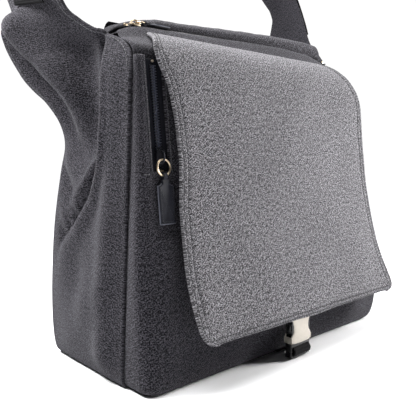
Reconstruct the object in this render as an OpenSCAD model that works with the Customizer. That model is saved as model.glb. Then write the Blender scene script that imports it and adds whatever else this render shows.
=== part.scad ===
// Messenger bag: a wool body with a zipped top, a front pocket under a buckled flap,
// and a wide shoulder strap that grows out of the side gussets.
// Frame: X to the bag's left-to-right as seen from the front, Y to the back, Z up,
// origin on the floor, under the middle of the body.

/* [Body] */
// Width of the body at the base
base_w = 360; // [320:5:400]
// Width of the body at the top of the front
top_w = 330; // [300:5:340]
// Height at which top_w is measured
front_h = 290; // [290:1:296]
// Thickness of the wool panels
wool_t = 3; // [2:0.5:3]
// Distance of the back panel behind the origin
back_y = 79; // [76:1:84]
// Distance of the main front panel before the origin
seam_y = 41; // [40:1:42]

/* [Front pocket] */
// Distance of the pocket's front before the origin, at the base
pocket_y = 76; // [74:1:80]
// Lean of the pocket's front, mm of depth per mm of height
pocket_lean = 0.1066; // [0.1:0.002:0.11]
// Height of the open pocket mouth
mouth_h = 235; // [225:1:236]
// Height of the top of the zipped strip
strip_h = 280; // [276:1:280]

/* [Flap] */
// Width of the flap
flap_w = 288; // [270:1:288]
// Thickness of the flap's wool
flap_t = 2.6; // [2:0.1:2.6]
// Radius of the flap's lower corners
flap_r = 22; // [10:1:30]

/* [Buckle] */
// Sideways place of the buckle
buckle_x = -10; // [-12:1:0]
// Width of the buckle
buckle_w = 30; // [30:0.5:31]
// Width of its webbing
buckle_web = 24; // [22:0.5:24.5]

/* [Strap] */
// Width of the shoulder webbing
strap_web = 50; // [38:1:52]
// Thickness of the shoulder webbing
strap_t = 2; // [1.5:0.1:2.2]
// Thickness of the wool wings
wing_t = 4; // [3:0.5:4]
// Outward bulge of the left wing beyond the right one
left_flare = 14; // [0:1:16]

/* [Hidden] */

wool_colour = [0.36, 0.36, 0.38];
black_colour = [0.07, 0.07, 0.08];
lining_colour = [0.12, 0.12, 0.14];
gold_colour = [0.82, 0.68, 0.44];
plate_colour = [0.82, 0.79, 0.73];
reach = 500;                      // longer than the bag, for extrusions that are trimmed
gap = 0.3;                        // clearance between neighbouring layers
rim_z = 333;                      // top of the rolled rim
lining_t = 1.2;
board_t = 2;
foam_t = 5;

// Half the body's width at height z.
function half_w(z) = (base_w + (top_w - base_w) * z / front_h) / 2;
// Depth of the pocket's front face at height z.
function pocket_front(z) = -pocket_y + pocket_lean * z;

// Smooth curve through the points p, with n steps between neighbours.
function knot(p, i) = p[max(0, min(len(p) - 1, i))];
function spline(a, b, c, d, t) =
    0.5 * ((2 * b) + (c - a) * t + (2 * a - 5 * b + 4 * c - d) * t * t
           + (3 * b - a - 3 * c + d) * t * t * t);
function smooth(p, n = 4) = concat(
    [for (i = [0 : len(p) - 2]) for (k = [0 : n - 1])
        spline(knot(p, i - 1), p[i], p[i + 1], knot(p, i + 2), k / n)],
    [p[len(p) - 1]]);
function unit(v) = v / norm(v);
function direction(p, i) = unit(knot(p, i + 1) - knot(p, i - 1));
// The curve p moved d to its left.
function shifted(p, d) = [for (i = [0 : len(p) - 1])
    p[i] + d * [-direction(p, i)[1], direction(p, i)[0]]];
function reversed(p) = [for (i = [len(p) - 1 : -1 : 0]) p[i]];
// Corner arc points, centre c, radius r, from angle a to angle b.
function arc(c, r, a, b, n = 6) = [for (k = [0 : n]) let (t = a + (b - a) * k / n)
    c + r * [cos(t), sin(t)]];

// A [y, z] outline extruded along X.
module across(w) rotate([90, 0, 90]) linear_extrude(w, center = true) children();
// An [x, z] outline extruded along Y, from y0 to y1.
module through(y0, y1) translate([0, y1, 0]) rotate([90, 0, 0]) linear_extrude(y1 - y0) children();
// A band of thickness t to the left of the curve p.
module band(p, t) polygon(concat(p, reversed(shifted(p, t))));
// The [x, z] outline of a panel between the gussets.
module panel_outline(inset, z0 = 0, z1 = rim_z)
    polygon([[-half_w(z0) + inset, z0], [half_w(z0) - inset, z0],
             [half_w(z1) - inset, z1], [-half_w(z1) + inset, z1]]);
// A panel whose [y, z] outline is the child, trimmed to the body's width.
module cross_panel(inset, z0 = 0, z1 = rim_z) intersection() {
    across(reach) children();
    through(-reach, reach) panel_outline(inset, z0, z1);
}
// A side plate whose [y, z] outline is the child, off inside the body's side.
module side_plate(side, off, t) intersection() {
    across(reach) children();
    through(-reach, reach)
        polygon([for (p = [[half_w(0) - off, 0], [half_w(rim_z) - off, rim_z],
                           [half_w(rim_z) - off - t, rim_z], [half_w(0) - off - t, 0]])
                 [side * p[0], p[1]]]);
}
// A box given by its lowest and highest corners.
module block(a, b) translate(a) cube(b - a);

// ---- Body shells ----

back_curve = smooth([[back_y, 190], [back_y - 5, 226], [back_y - 18, 262], [back_y - 34, 291],
                     [back_y - 50, 313]]);
back_line = concat([[back_y, 0]], back_curve);
inset = wool_t + gap;

module back_panel() color(wool_colour)
    cross_panel(inset) band(back_line, wool_t);

module front_panel() color(wool_colour)
    cross_panel(inset) polygon([[-seam_y, 0], [-seam_y + wool_t, 0],
                                [-seam_y + wool_t, strip_h + 4], [-seam_y, strip_h + 4]]);

gusset_line = concat([[-seam_y, 0], [back_y, 0]], back_curve, [[0, 307], [-seam_y, 278]]);

module gusset(side) color(wool_colour) side_plate(side, 0, wool_t) polygon(gusset_line);

module bottom_panel() color(wool_colour)
    cross_panel(inset, 0, wool_t)
        polygon([[-seam_y + inset, 0], [back_y - inset, 0],
                 [back_y - inset, wool_t], [-seam_y + inset, wool_t]]);

module base_board() color(black_colour)
    cross_panel(inset + 3)
        translate([-seam_y + inset + 3, wool_t + gap])
            square([back_y + seam_y - 2 * inset - 6, board_t]);

module back_foam() color([0.25, 0.25, 0.27])
    cross_panel(inset + 8)
        translate([back_y - inset - foam_t, 14]) square([foam_t, 174]);

// ---- Lining and inner pockets ----

lining_in = inset + foam_t + gap;          // the lining's distance inside the back panel
lining_floor = wool_t + board_t + 2 * gap;
lining_outer = [[-seam_y + inset, lining_floor], [back_y - lining_in, lining_floor],
                [back_y - lining_in, 188], [back_y - lining_in - 8, 226],
                [back_y - lining_in - 20, 258], [back_y - lining_in - 34, 283],
                [back_y - lining_in - 42, 296], [-10, 296], [-24, 290], [-seam_y + inset, 282]];
module lining_shell(t) polygon([for (p = lining_outer)
    [max(-seam_y + inset + t, min(p[0] - (p[0] > 0 ? t : 0), back_y - lining_in - t)),
     p[1] < 20 ? p[1] + t : p[1] + (t > 0 ? 4 : 0)]]);

module main_lining() color(lining_colour) difference() {
    cross_panel(inset + gap) lining_shell(0);
    cross_panel(inset + gap + lining_t) lining_shell(lining_t);
}

divider_y = 50;
module sleeve_divider() color(lining_colour)
    cross_panel(inset + gap + lining_t + 1)
        polygon([[divider_y, 8.2], [divider_y + 4, 8.2], [divider_y + 4, 225], [divider_y, 225]]);

slip_y = -seam_y + inset + lining_t + gap;
module inner_slip_pocket() color(lining_colour) difference() {
    block([-110, slip_y, 60], [110, slip_y + 5, 190]);
    block([-107, slip_y - 1, 63], [-1.5, slip_y + 4, 200]);
    block([1.5, slip_y - 1, 63], [107, slip_y + 4, 200]);
}

// ---- Top zip ----

zip_y = -3;                       // centre of the top zip
zip_z = 311.6;                    // upper face of its tape
coil_w = 2.4;
coil_h = 2.2;
coil_gap = 0.8;                   // from the centre line to a coil
tape_w = 12;
tape_t = 1;
zip_end = 150;
slider_x = -137;                  // the top slider's parked place
lip_end = 148;                    // half the length of the lips
mouth_x0 = -96;                   // the opening half of the zip lies between these,
mouth_x1 = 118;                   // clear of the slider at both ends of its travel
bail_pin = 6;                     // a pull ring's hinge line above the tape's upper face

lip_curve = smooth([[-seam_y, strip_h + 4.5], [-39, 294], [-31, 301], [-19, 306.5], [-8.6, 312.6]]);
module front_lip() color(wool_colour) intersection() {
    across(2 * lip_end + 14) band(reversed(lip_curve), wool_t);
    through(-reach, reach) panel_outline(inset, 0, 340);
}

module main_tape(side, x0, x1) color(black_colour)
    block([x0, side < 0 ? zip_y - 3.7 : zip_y + 1, zip_z - tape_t],
          [x1, side < 0 ? zip_y - 1 : zip_y + tape_w, zip_z]);
module main_coil(side, x0, x1) color(black_colour)
    block([x0, side < 0 ? zip_y - coil_gap - coil_w : zip_y + coil_gap, zip_z],
          [x1, side < 0 ? zip_y - coil_gap : zip_y + coil_gap + coil_w, zip_z + coil_h]);
module main_zip_tape_front() main_tape(-1, -zip_end, zip_end);
module main_zip_coil_front() main_coil(-1, -zip_end + 5.8, zip_end - 5.8);
module main_zip_tape_back() main_tape(1, mouth_x0, mouth_x1);
module main_zip_coil_back() main_coil(1, mouth_x0, mouth_x1);
// The ends of the back half stay with the body and keep the slider.
module main_zip_ends() {
    main_tape(1, -zip_end, mouth_x0 - 1);
    main_tape(1, mouth_x1 + 1, zip_end);
    main_coil(1, -zip_end + 5.8, mouth_x0 - 1);
    main_coil(1, mouth_x1 + 1, zip_end - 5.8);
}

module main_zip_stops() color(gold_colour) {
    block([zip_end - 5.7, zip_y - 3.2, zip_z], [zip_end - 2.7, zip_y - 1.2, zip_z + 2.6]);
    block([-zip_end + 0.3, zip_y - 3.2, zip_z], [-zip_end + 3.3, zip_y - 1.2, zip_z + 2.6]);
}

roll_curve = smooth([[2.6, 315.4], [6.5, 322], [12, 328.6], [19, 330.6], [24.5, 326.4],
                     [26.5, 320]]);
module back_lip() color(wool_colour) across(2 * lip_end) band(reversed(roll_curve), 2.4);

// A slider for a coil whose teeth lie from 0 to coil_h above the tape, travelling along X.
module slider(length, width) {
    block([-length / 2, -width / 2, coil_h + 0.4], [length / 2, width / 2, coil_h + 1.7]);
    block([-length / 2, -width / 2, -tape_t - 1.8], [length / 2, width / 2, -tape_t - 0.5]);
    block([-length / 2, -0.4, -tape_t - 1], [-length / 2 + 2.5, 0.4, coil_h + 1]);
    translate([0, 0, coil_h + 1.6]) difference() {
        block([-length / 2 + 2, -1.1, 0], [length / 2 - 1, 1.1, 4.6]);
        block([-length / 2 + 3.4, -2, -0.1], [length / 2 - 2.2, 2, 3.6]);
    }
}
module main_zip_slider() color(gold_colour)
    translate([slider_x, zip_y, zip_z]) slider(12, 8);

module torus(r, wire) rotate_extrude($fn = 48) translate([r, 0]) circle(wire, $fn = 20);

main_ring_r = 4;
main_ring_x = slider_x + 2.2;     // the ring's hinge line, inside the slider's bail
main_ring_z = zip_z + bail_pin;
module main_pull_ring() color(gold_colour)
    translate([main_ring_x + main_ring_r, zip_y, main_ring_z]) torus(main_ring_r, 0.7);

main_tab_x = main_ring_x + 2 * main_ring_r;
module main_pull_tab() color(black_colour)
    translate([main_tab_x, zip_y, main_ring_z]) pull_tab(28, 3.6, 1.2, 1.2);
// A pull whose eye, of bore radius r and half length e, turns on a ring's far side.
module pull_tab(length, half, t, r, e = 1.5) difference() {
    union() {
        block([e + 1.2, -half, -t], [length, half, t]);
        block([0, -e, -t], [e + 2, e, t]);
        rotate([90, 0, 0]) cylinder(h = 2 * e, r = r + 0.9, center = true, $fn = 32);
    }
    rotate([90, 0, 0]) cylinder(h = 9 * e, r = r, center = true, $fn = 32);
}

// ---- Front pocket ----

zip_x = -148.5;                   // centre of the pocket's upright zip
slot_w = 18;                      // width of the slot that it shows in
slot_z0 = 184;
slot_z1 = 276;
pocket_end = inset;

// The notch that the buckle's lower webbing leaves the pocket's bottom edge through.
module web_notch() block([buckle_x - buckle_web / 2 - gap, -pocket_y - 5, -1],
                         [buckle_x + buckle_web / 2 + gap, -69, 4]);

module pocket_front_panel() color(wool_colour) difference() {
    cross_panel(pocket_end, 0, strip_h)
        polygon([[pocket_front(0), 0], [pocket_front(0) + wool_t, 0],
                 [pocket_front(strip_h) + wool_t, strip_h], [pocket_front(strip_h), strip_h]]);
    block([zip_x - slot_w / 2, -100, slot_z0], [zip_x + slot_w / 2, 0, slot_z1]);
    block([zip_x + slot_w / 2 + 5, -100, mouth_h], [200, 0, 300]);
    web_notch();
}

module pocket_gusset(side) color(wool_colour)
    side_plate(side, 0, wool_t)
        polygon([[pocket_front(0), 0], [-seam_y - gap, 0],
                 [-seam_y - gap, side < 0 ? strip_h : mouth_h],
                 [pocket_front(side < 0 ? strip_h : mouth_h), side < 0 ? strip_h : mouth_h]]);

module pocket_bottom() color(wool_colour) difference() {
    cross_panel(inset)
        translate([pocket_front(0) + inset + 0.4, 0])
            square([pocket_y - seam_y - inset - 0.4 - gap, wool_t]);
    web_notch();
}

module pocket_mouth_binding() color(black_colour)
    through(pocket_front(mouth_h) - 0.5, pocket_front(mouth_h) + wool_t + 0.5)
        polygon([[zip_x + slot_w / 2 + 7, mouth_h + 0.05], [half_w(mouth_h) - 5, mouth_h + 0.05],
                 [half_w(mouth_h) - 5, mouth_h + 3], [zip_x + slot_w / 2 + 7, mouth_h + 3]]);

// Things on the pocket's leaning front: local X runs up the zip, Z out of the face.
zip_tilt = atan(pocket_lean);
module on_pocket(z) translate([zip_x, pocket_front(z) + wool_t + 0.2 + tape_t, z])
    rotate([90 - zip_tilt, 0, 0]) rotate([0, 0, 90]) children();
pocket_zip_z = 192;               // the pocket slider's parked place
tape_half = slot_w / 2 + 3;

module pocket_tape(side) color(black_colour) on_pocket(slot_z0)
    block([-3, side < 0 ? 0.6 : -tape_half, 0], [slot_z1 - slot_z0 + 3, side < 0 ? tape_half : -0.6, tape_t]);
module pocket_coil(side) color(black_colour) on_pocket(slot_z0)
    block([2, side < 0 ? coil_gap : -coil_gap - coil_w, tape_t],
          [slot_z1 - slot_z0 - 2, side < 0 ? coil_gap + coil_w : -coil_gap, tape_t + coil_h - 0.4]);
module pocket_zip_stops() color(gold_colour) on_pocket(slot_z0) {
    block([0.2, -3.4, tape_t], [1.8, 3.4, tape_t + 2]);
    block([slot_z1 - slot_z0 - 1.8, -3.4, tape_t], [slot_z1 - slot_z0 - 0.2, -1, tape_t + 2]);
}
module pocket_zip_slider() color(black_colour) on_pocket(pocket_zip_z)
    translate([5, 0, tape_t]) rotate([0, 0, 180]) slider(13, 9);

pocket_ring_r = 6.8;
pin_s = 2.2;                      // the ring's hinge line, along the zip from the slider
ring_out = tape_t + bail_pin;     // and out from the tape
module pocket_pull_ring() color(gold_colour) on_pocket(pocket_zip_z)
    translate([pin_s - pocket_ring_r, 0, ring_out]) torus(pocket_ring_r, 0.85);
module pocket_pull_tab() color(black_colour) on_pocket(pocket_zip_z)
    translate([pin_s - 2 * pocket_ring_r, 0, ring_out]) rotate([0, 0, 180])
        pull_tab(40, 7.5, 1.5, 1.4, 2);

// ---- Flap ----

flap_x = 5;                       // middle of the flap
hinge_y = -26;
hinge_z = 307;
flap_low = 43;                    // height of the flap's lower edge
flap_curve = smooth([[hinge_y, hinge_z + flap_t / 2], [-41, 304], [-52, 290.5], [-58, 269],
                     [-61, 240], [-66, 195], [-73, 148], [-84, 103], [-97, 65], [-106.5, flap_low]]);
module flap_outline(inset) translate([flap_x, 0]) polygon(concat(
    [[flap_w / 2 - inset, 320], [-flap_w / 2 + inset, 320]],
    arc([-flap_w / 2 + flap_r, flap_low + flap_r], flap_r - inset, 180, 270),
    arc([flap_w / 2 - flap_r, flap_low + flap_r], flap_r - inset, 270, 360)));
module flap_outer() color(wool_colour) intersection() {
    across(reach) band(flap_curve, flap_t);
    through(-150, 0) flap_outline(0);
}
module flap_lining() color(lining_colour) intersection() {
    across(reach) band(shifted(flap_curve, flap_t + 0.02), 0.9);
    through(-150, hinge_y - 2) flap_outline(3);
}

// ---- Side-release buckle ----

buckle_y = -93.6;                 // middle of the buckle's thickness
buckle_d = 10.6;
mouth_z = 16;                     // the female half's mouth
female_top = 45;
window_z = 31;
window_r = 11;

module at_buckle() translate([buckle_x, buckle_y, 0]) children();

module buckle_female_cover() color(plate_colour) at_buckle() difference() {
    block([-buckle_w / 2, -buckle_d / 2, mouth_z], [buckle_w / 2, buckle_d / 2, female_top]);
    block([-buckle_w / 2 + 1.2, -buckle_d / 2 + 1.2, mouth_z - 1],
          [buckle_w / 2 - 1.2, buckle_d / 2 - 1.2, female_top + 1]);
    for (side = [-1, 1]) translate([side * (buckle_w / 2 + window_r - 4), 0, window_z])
        rotate([90, 0, 0]) cylinder(h = 30, r = window_r, center = true, $fn = 72);
}
module buckle_female_core() color(black_colour) at_buckle() {
    difference() {
        block([-buckle_w / 2 + 1.3, -buckle_d / 2 + 1.3, mouth_z + 0.2],
              [buckle_w / 2 - 1.3, buckle_d / 2 - 1.3, female_top - 0.2]);
        block([-buckle_w / 2 + 0.5, -buckle_d / 2 + 2.1, mouth_z - 1],
              [buckle_w / 2 - 0.5, buckle_d / 2 - 2.1, female_top - 3]);
    }
    difference() {
        block([-buckle_w / 2 + 1.3, -3, female_top - 0.2], [buckle_w / 2 - 1.3, 1, female_top + 9]);
        block([-buckle_web / 2 - 0.6, -4, female_top + 1.6], [buckle_web / 2 + 0.6, 2, female_top + 5.6]);
    }
}
// Short webbing sewn behind the flap's hem, looped through the female half's bar.
module buckle_webbing_upper() color(black_colour) at_buckle() {
    block([-buckle_web / 2, -2.2, female_top + 1.9], [buckle_web / 2, -0.2, female_top + 5.3]);
    block([-buckle_web / 2, 1.4, female_top + 1.9], [buckle_web / 2, 3, female_top + 19]);
    block([-buckle_web / 2, -0.2, female_top + 1.9], [buckle_web / 2, 1.4, female_top + 5.3]);
    block([-buckle_web / 2, 0.2, female_top + 9.4], [buckle_web / 2, 1.4, female_top + 19]);
}

arm_x = 9.6;                      // middle of a prong arm
arm_z = 14.6;                     // the arm's root, which it bends about
module buckle_male_frame() color(black_colour) at_buckle() {
    difference() {
        block([-buckle_w / 2 + 0.6, -4, 1.5], [buckle_w / 2 - 0.6, 4, 15.6]);
        block([-buckle_web / 2 - 0.5, -5, 3.6], [buckle_web / 2 + 0.5, 5, 7.2]);
        block([-buckle_web / 2 - 0.5, -5, 9], [buckle_web / 2 + 0.5, 5, 12]);
        for (side = [-1, 1]) translate([side * arm_x, 0, arm_z]) {
            rotate([90, 0, 0]) cylinder(h = 30, r = 1.9, center = true, $fn = 40);
            block([-1.9, -15, 0], [1.9, 15, 5]);
        }
    }
    block([-3, -1.4, 15.5], [3, 1.4, 36]);
}
// One springy arm of the male half, with the button that shows in the window.
module buckle_prong(side) color(black_colour) at_buckle() translate([side * arm_x, 0, arm_z]) {
    rotate([90, 0, 0]) cylinder(h = 5, r = 1.6, center = true, $fn = 40);
    block([-1.3, -2.5, 0], [1.3, 2.5, 22.5]);
    intersection() {
        block([min(0, side * 5.2), -2.5, 8.4], [max(0, side * 5.2), 2.5, 22.5]);
        translate([side * (window_r - 6.3), 0, 16.4]) rotate([90, 0, 0])
            cylinder(h = 5, r = 6.2, center = true, $fn = 64);
    }
}

// The lower webbing runs from under the pocket to the male half's bar.
web_curve = smooth([[-70, 1.6], [-77, 2.6], [-84, 8.2], [-89, 10.6], [-97.5, 10.5]], 3);
module buckle_webbing_lower() color(black_colour)
    translate([buckle_x, 0, 0]) across(buckle_web) band(web_curve, 1.4);
module webbing_anchor_patch() color(black_colour)
    block([buckle_x - 16, -68.6, 3.1], [buckle_x + 16, -52, 4.6]);

// ---- Shoulder strap ----

// Middle of the strap from its right-hand root to the top: [x, y, z, half width].
strap_line = smooth([[173.6, 27, 206, 46], [174, 37, 250, 47], [178, 53, 296, 45],
                     [184, 70, 340, 43], [187, 87, 385, 41], [182, 102, 425, 40],
                     [160, 113, 456, 38], [122, 123, 480, 36], [88, 130, 490, 34],
                     [66, 130, 490, 34], [0, 130, 490, 34]], 3);
top = len(strap_line) - 1;
web_first = 10;                   // the webbing is sewn onto the wool from this station
wing_last = 19;                   // and the wool ends at this one
ring_at = 2 * top - 20;           // station of the strap's rectangular ring

// The bulge of the left side, largest where the wing stands clear of the body.
function flare(z) = z > 210 ? left_flare * exp(-pow((z - 345) / 48, 2)) : 0;
// Stations run from the left root, k = 0, over the top to the right root, k = 2 * top.
function station(k) = let (p = strap_line[min(k, 2 * top - k)])
    k <= top ? [-p[0] - flare(p[2]), p[1], p[2]] : [p[0], p[1], p[2]];
function half_breadth(k) = strap_line[min(k, 2 * top - k)][3];
function tangent(k) = unit(station(min(k + 1, 2 * top)) - station(max(k - 1, 0)));
function breadth(k) = let (t = tangent(k)) unit([0, 1, 0] - t[1] * t);
function outward(k) = cross(tangent(k), breadth(k));
// One cross-section of a flat ribbon, w to each side, from depth a to b out of the middle,
// shifted s along the strap.
function section(k, w, a, b, s = 0) =
    let (c = station(k) + s * tangent(k), n = outward(k), m = breadth(k))
    [c - m * w + n * a, c + m * w + n * a, c + m * w + n * b, c - m * w + n * b];
module ribbon(rings) {
    n = len(rings);
    polyhedron(
        points = [for (r = rings) for (p = r) p],
        faces = concat(
            [[0, 1, 2, 3], [for (k = [3 : -1 : 0]) 4 * (n - 1) + k]],
            [for (i = [0 : n - 2]) for (k = [0 : 3]) let (m = (k + 1) % 4)
                [4 * i + k, 4 * i + 4 + k, 4 * i + 4 + m, 4 * i + m]]));
}
function sections(k0, k1, w, a, b) =
    [for (k = [k0 : k1]) section(k, w < 0 ? half_breadth(k) : w, a, b)];

module wing(k0, k1) color(wool_colour)
    ribbon(sections(k0, k1, -1, -wing_t / 2, wing_t / 2));
module left_wing() wing(0, wing_last);
module right_wing() wing(2 * top - wing_last, 2 * top);

bar_r = 2;                        // radius of the ring's wire
bar_s = 9;                        // its bars, each way along the strap
fold_r = bar_r + 0.35;            // inside radius of the webbing about a bar
web_a = wing_t / 2 + 0.05;        // the outer layer of webbing
web_b = web_a + strap_t;
mid = web_a - fold_r;             // depth of the ring's middle
tail_b = mid - fold_r;            // the inner layer
tail_a = tail_b - strap_t;

// Local frame at a station: X along the strap, Y across it, Z outward.
module at_station(k) {
    t = tangent(k);
    m = breadth(k);
    n = outward(k);
    c = station(k);
    multmatrix([[t[0], m[0], n[0], c[0]], [t[1], m[1], n[1], c[1]],
                [t[2], m[2], n[2], c[2]], [0, 0, 0, 1]]) children();
}
// Webbing turned about the ring's bar; side is the way the bar lies along the strap.
module web_fold(side) at_station(ring_at) translate([side * bar_s, 0, mid])
    rotate([90, 0, 0]) linear_extrude(strap_web, center = true) difference() {
        circle(fold_r + strap_t, $fn = 48);
        circle(fold_r, $fn = 48);
        translate([side > 0 ? 0 : -20, -10]) square(20);
    }
module strap_webbing() color(black_colour) {
    ribbon(concat(sections(web_first, ring_at - 1, strap_web / 2, web_a, web_b),
                  [section(ring_at, strap_web / 2, web_a, web_b, 0.6 - bar_s)]));
    web_fold(-1);
}
tail_first = top - 3;
module strap_webbing_tail() color(black_colour)
    ribbon(concat(sections(tail_first, ring_at - 1, strap_web / 2, tail_a, tail_b),
                  [section(ring_at, strap_web / 2, tail_a, tail_b, -bar_s - 0.2)]));
module strap_webbing_loop() color(black_colour) {
    ribbon(concat([section(ring_at, strap_web / 2, web_a, web_b, bar_s - 0.6)],
                  sections(ring_at + 1, 2 * top - web_first, strap_web / 2, web_a, web_b)));
    ribbon(concat([section(ring_at, strap_web / 2, tail_a, tail_b, bar_s - 0.6)],
                  sections(ring_at + 1, ring_at + 3, strap_web / 2, tail_a, tail_b)));
    web_fold(1);
}
module strap_ring() color(black_colour) at_station(ring_at) translate([0, 0, mid]) {
    for (side = [-1, 1]) {
        translate([side * bar_s, 0, 0]) rotate([90, 0, 0])
            cylinder(h = strap_web + 10, r = bar_r, center = true, $fn = 40);
        block([-bar_s, side > 0 ? strap_web / 2 + 1 : -strap_web / 2 - 5, -bar_r],
              [bar_s, side > 0 ? strap_web / 2 + 5 : -strap_web / 2 - 1, bar_r]);
    }
}
module strap_adjuster() color(black_colour) at_station(top) difference() {
    block([-14, -strap_web / 2 - 5, tail_a - 3], [14, strap_web / 2 + 5, web_b + 3]);
    block([-15, -strap_web / 2 - 0.8, web_a - 0.5], [15, strap_web / 2 + 0.8, web_b + 0.5]);
    block([-15, -strap_web / 2 - 0.8, tail_a - 0.5], [15, strap_web / 2 + 0.8, tail_b + 0.5]);
    block([-8, -strap_web / 2 - 0.8, web_b - 1], [8, strap_web / 2 + 0.8, web_b + 9]);
    block([-8, -strap_web / 2 - 0.8, tail_a - 9], [8, strap_web / 2 + 0.8, tail_a + 1]);
}

// ---- Sub-parts by name ----

module left_gusset() gusset(-1);
module right_gusset() gusset(1);
module pocket_left_gusset() pocket_gusset(-1);
module pocket_right_gusset() pocket_gusset(1);
module pocket_zip_tape_left() pocket_tape(-1);
module pocket_zip_tape_right() pocket_tape(1);
module pocket_zip_coil_left() pocket_coil(-1);
module pocket_zip_coil_right() pocket_coil(1);
module buckle_prong_left() buckle_prong(-1);
module buckle_prong_right() buckle_prong(1);

back_panel();
front_panel();
left_gusset();
right_gusset();
bottom_panel();
base_board();
back_foam();
main_lining();
sleeve_divider();
inner_slip_pocket();
front_lip();
main_zip_tape_front();
main_zip_coil_front();
main_zip_ends();
main_zip_stops();
back_lip();
main_zip_tape_back();
main_zip_coil_back();
main_zip_slider();
main_pull_ring();
main_pull_tab();
pocket_front_panel();
pocket_left_gusset();
pocket_right_gusset();
pocket_bottom();
pocket_mouth_binding();
pocket_zip_tape_left();
pocket_zip_tape_right();
pocket_zip_coil_left();
pocket_zip_coil_right();
pocket_zip_stops();
pocket_zip_slider();
pocket_pull_ring();
pocket_pull_tab();
flap_outer();
flap_lining();
buckle_webbing_upper();
buckle_female_core();
buckle_female_cover();
buckle_male_frame();
buckle_prong_left();
buckle_prong_right();
buckle_webbing_lower();
webbing_anchor_patch();
left_wing();
right_wing();
strap_webbing();
strap_webbing_loop();
strap_ring();
strap_webbing_tail();
strap_adjuster();
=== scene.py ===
"""A wool messenger bag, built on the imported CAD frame."""
import math

import bpy
import numpy as np
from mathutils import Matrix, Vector


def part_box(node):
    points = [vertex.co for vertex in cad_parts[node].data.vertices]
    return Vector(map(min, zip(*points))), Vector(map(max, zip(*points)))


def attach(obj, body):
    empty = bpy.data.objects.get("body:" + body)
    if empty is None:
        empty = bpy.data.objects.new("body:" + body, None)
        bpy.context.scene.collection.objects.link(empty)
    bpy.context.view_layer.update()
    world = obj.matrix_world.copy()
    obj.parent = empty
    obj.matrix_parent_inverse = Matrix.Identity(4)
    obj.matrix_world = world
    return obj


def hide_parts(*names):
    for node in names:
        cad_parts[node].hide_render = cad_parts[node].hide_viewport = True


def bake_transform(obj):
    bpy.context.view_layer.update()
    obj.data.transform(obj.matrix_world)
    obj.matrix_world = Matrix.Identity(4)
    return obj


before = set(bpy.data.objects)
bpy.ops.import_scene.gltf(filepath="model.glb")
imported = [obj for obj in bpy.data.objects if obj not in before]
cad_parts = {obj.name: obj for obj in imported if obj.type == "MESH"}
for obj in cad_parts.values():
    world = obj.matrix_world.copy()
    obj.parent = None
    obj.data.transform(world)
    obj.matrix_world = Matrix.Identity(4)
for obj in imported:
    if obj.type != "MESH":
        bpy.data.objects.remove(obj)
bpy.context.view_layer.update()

MM = 0.001
SIDES = ((-1, "left"), (1, "right"))
PITCH = 2.3                   # one loop of a zip's coil, mm
WAVE_UNIT = math.pi / 10      # a wave texture's scale for one rib per metre

# ---------------------------------------------------------------- dimensions, mm

SEAM_Y = -41.0        # main front panel and the seam the pocket's sides are sewn to
BACK_Y = 79.0
POCKET_TOP = 280.0
POCKET_SLOPE = 0.1066
ZIP_Y, ZIP_TOP = -3.0, 311.6      # middle of the top zip
MOUTH_Z = 235.0       # open mouth of the front pocket
SAG = 8.5             # how far the mouth's right end falls back
FLAP_LOW = 43.0
ZIP_X = -148.5        # the pocket's upright zip
SLOT_HALF = 9.0
SLOT_FRAME = 5.0      # wool left standing right of the slot above the pocket's mouth
SLOT_Z = (184.0, 276.0)
BUCKLE = (-10.0, -93.6)           # x and y of the buckle's middle
BUCKLE_WEB = 24.0
COVER_HALF, COVER_Z = 15.0, (16.0, 45.0)      # half width of the buckle's metal cover, and its height
STRAP_WEB = 50.0


def half_w(z):
    """Half the body's width at height z."""
    return 180.0 - 15.0 * np.asarray(z, float) / 290.0


def pocket_y(z):
    """Depth of the pocket's front at height z."""
    return -76.0 + POCKET_SLOPE * np.asarray(z, float)


def smooth(points, n):
    """Catmull-Rom curve through the points, n steps between neighbours."""
    p = np.asarray(points, float)
    ends = lambda i: p[max(0, min(len(p) - 1, i))]
    out = []
    for i in range(len(p) - 1):
        a, b, c, d = ends(i - 1), p[i], p[i + 1], ends(i + 2)
        for k in range(n):
            t = k / n
            out.append(0.5 * (2 * b + (c - a) * t + (2 * a - 5 * b + 4 * c - d) * t * t
                              + (3 * b - a - 3 * c + d) * t ** 3))
    out.append(p[-1])
    return np.array(out)


def arc(points):
    """Distance along a line of points, from its first one."""
    return np.r_[0, np.cumsum(np.linalg.norm(np.diff(points, axis=0), axis=1))]


def even(points, step):
    """The same curve with points about step apart along it."""
    p = np.asarray(points, float)
    d = arc(p)
    s = np.linspace(0, d[-1], max(2, int(round(d[-1] / step)) + 1))
    return np.stack([np.interp(s, d, p[:, k]) for k in range(p.shape[1])], 1)


def ease(a, b, x):
    """Smooth step from 0 at a to 1 at b."""
    t = np.clip((np.asarray(x, float) - a) / (b - a), 0, 1)
    return t * t * (3 - 2 * t)


def bell(x):
    """Half a sine wave: 1 at x = 0.5, and 0 at x = 0 and 1 and beyond."""
    return np.sin(np.pi * np.clip(x, 0, 1))


def vault(x):
    """Half a cosine wave: 1 at x = 0, and 0 at x = -1 and 1 and beyond."""
    return np.cos(np.pi / 2 * np.clip(x, -1, 1))


def hump(x, centre, width):
    """A bump of height 1 that fades out on both sides."""
    return np.exp(-((np.asarray(x, float) - centre) / width) ** 2)


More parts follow.
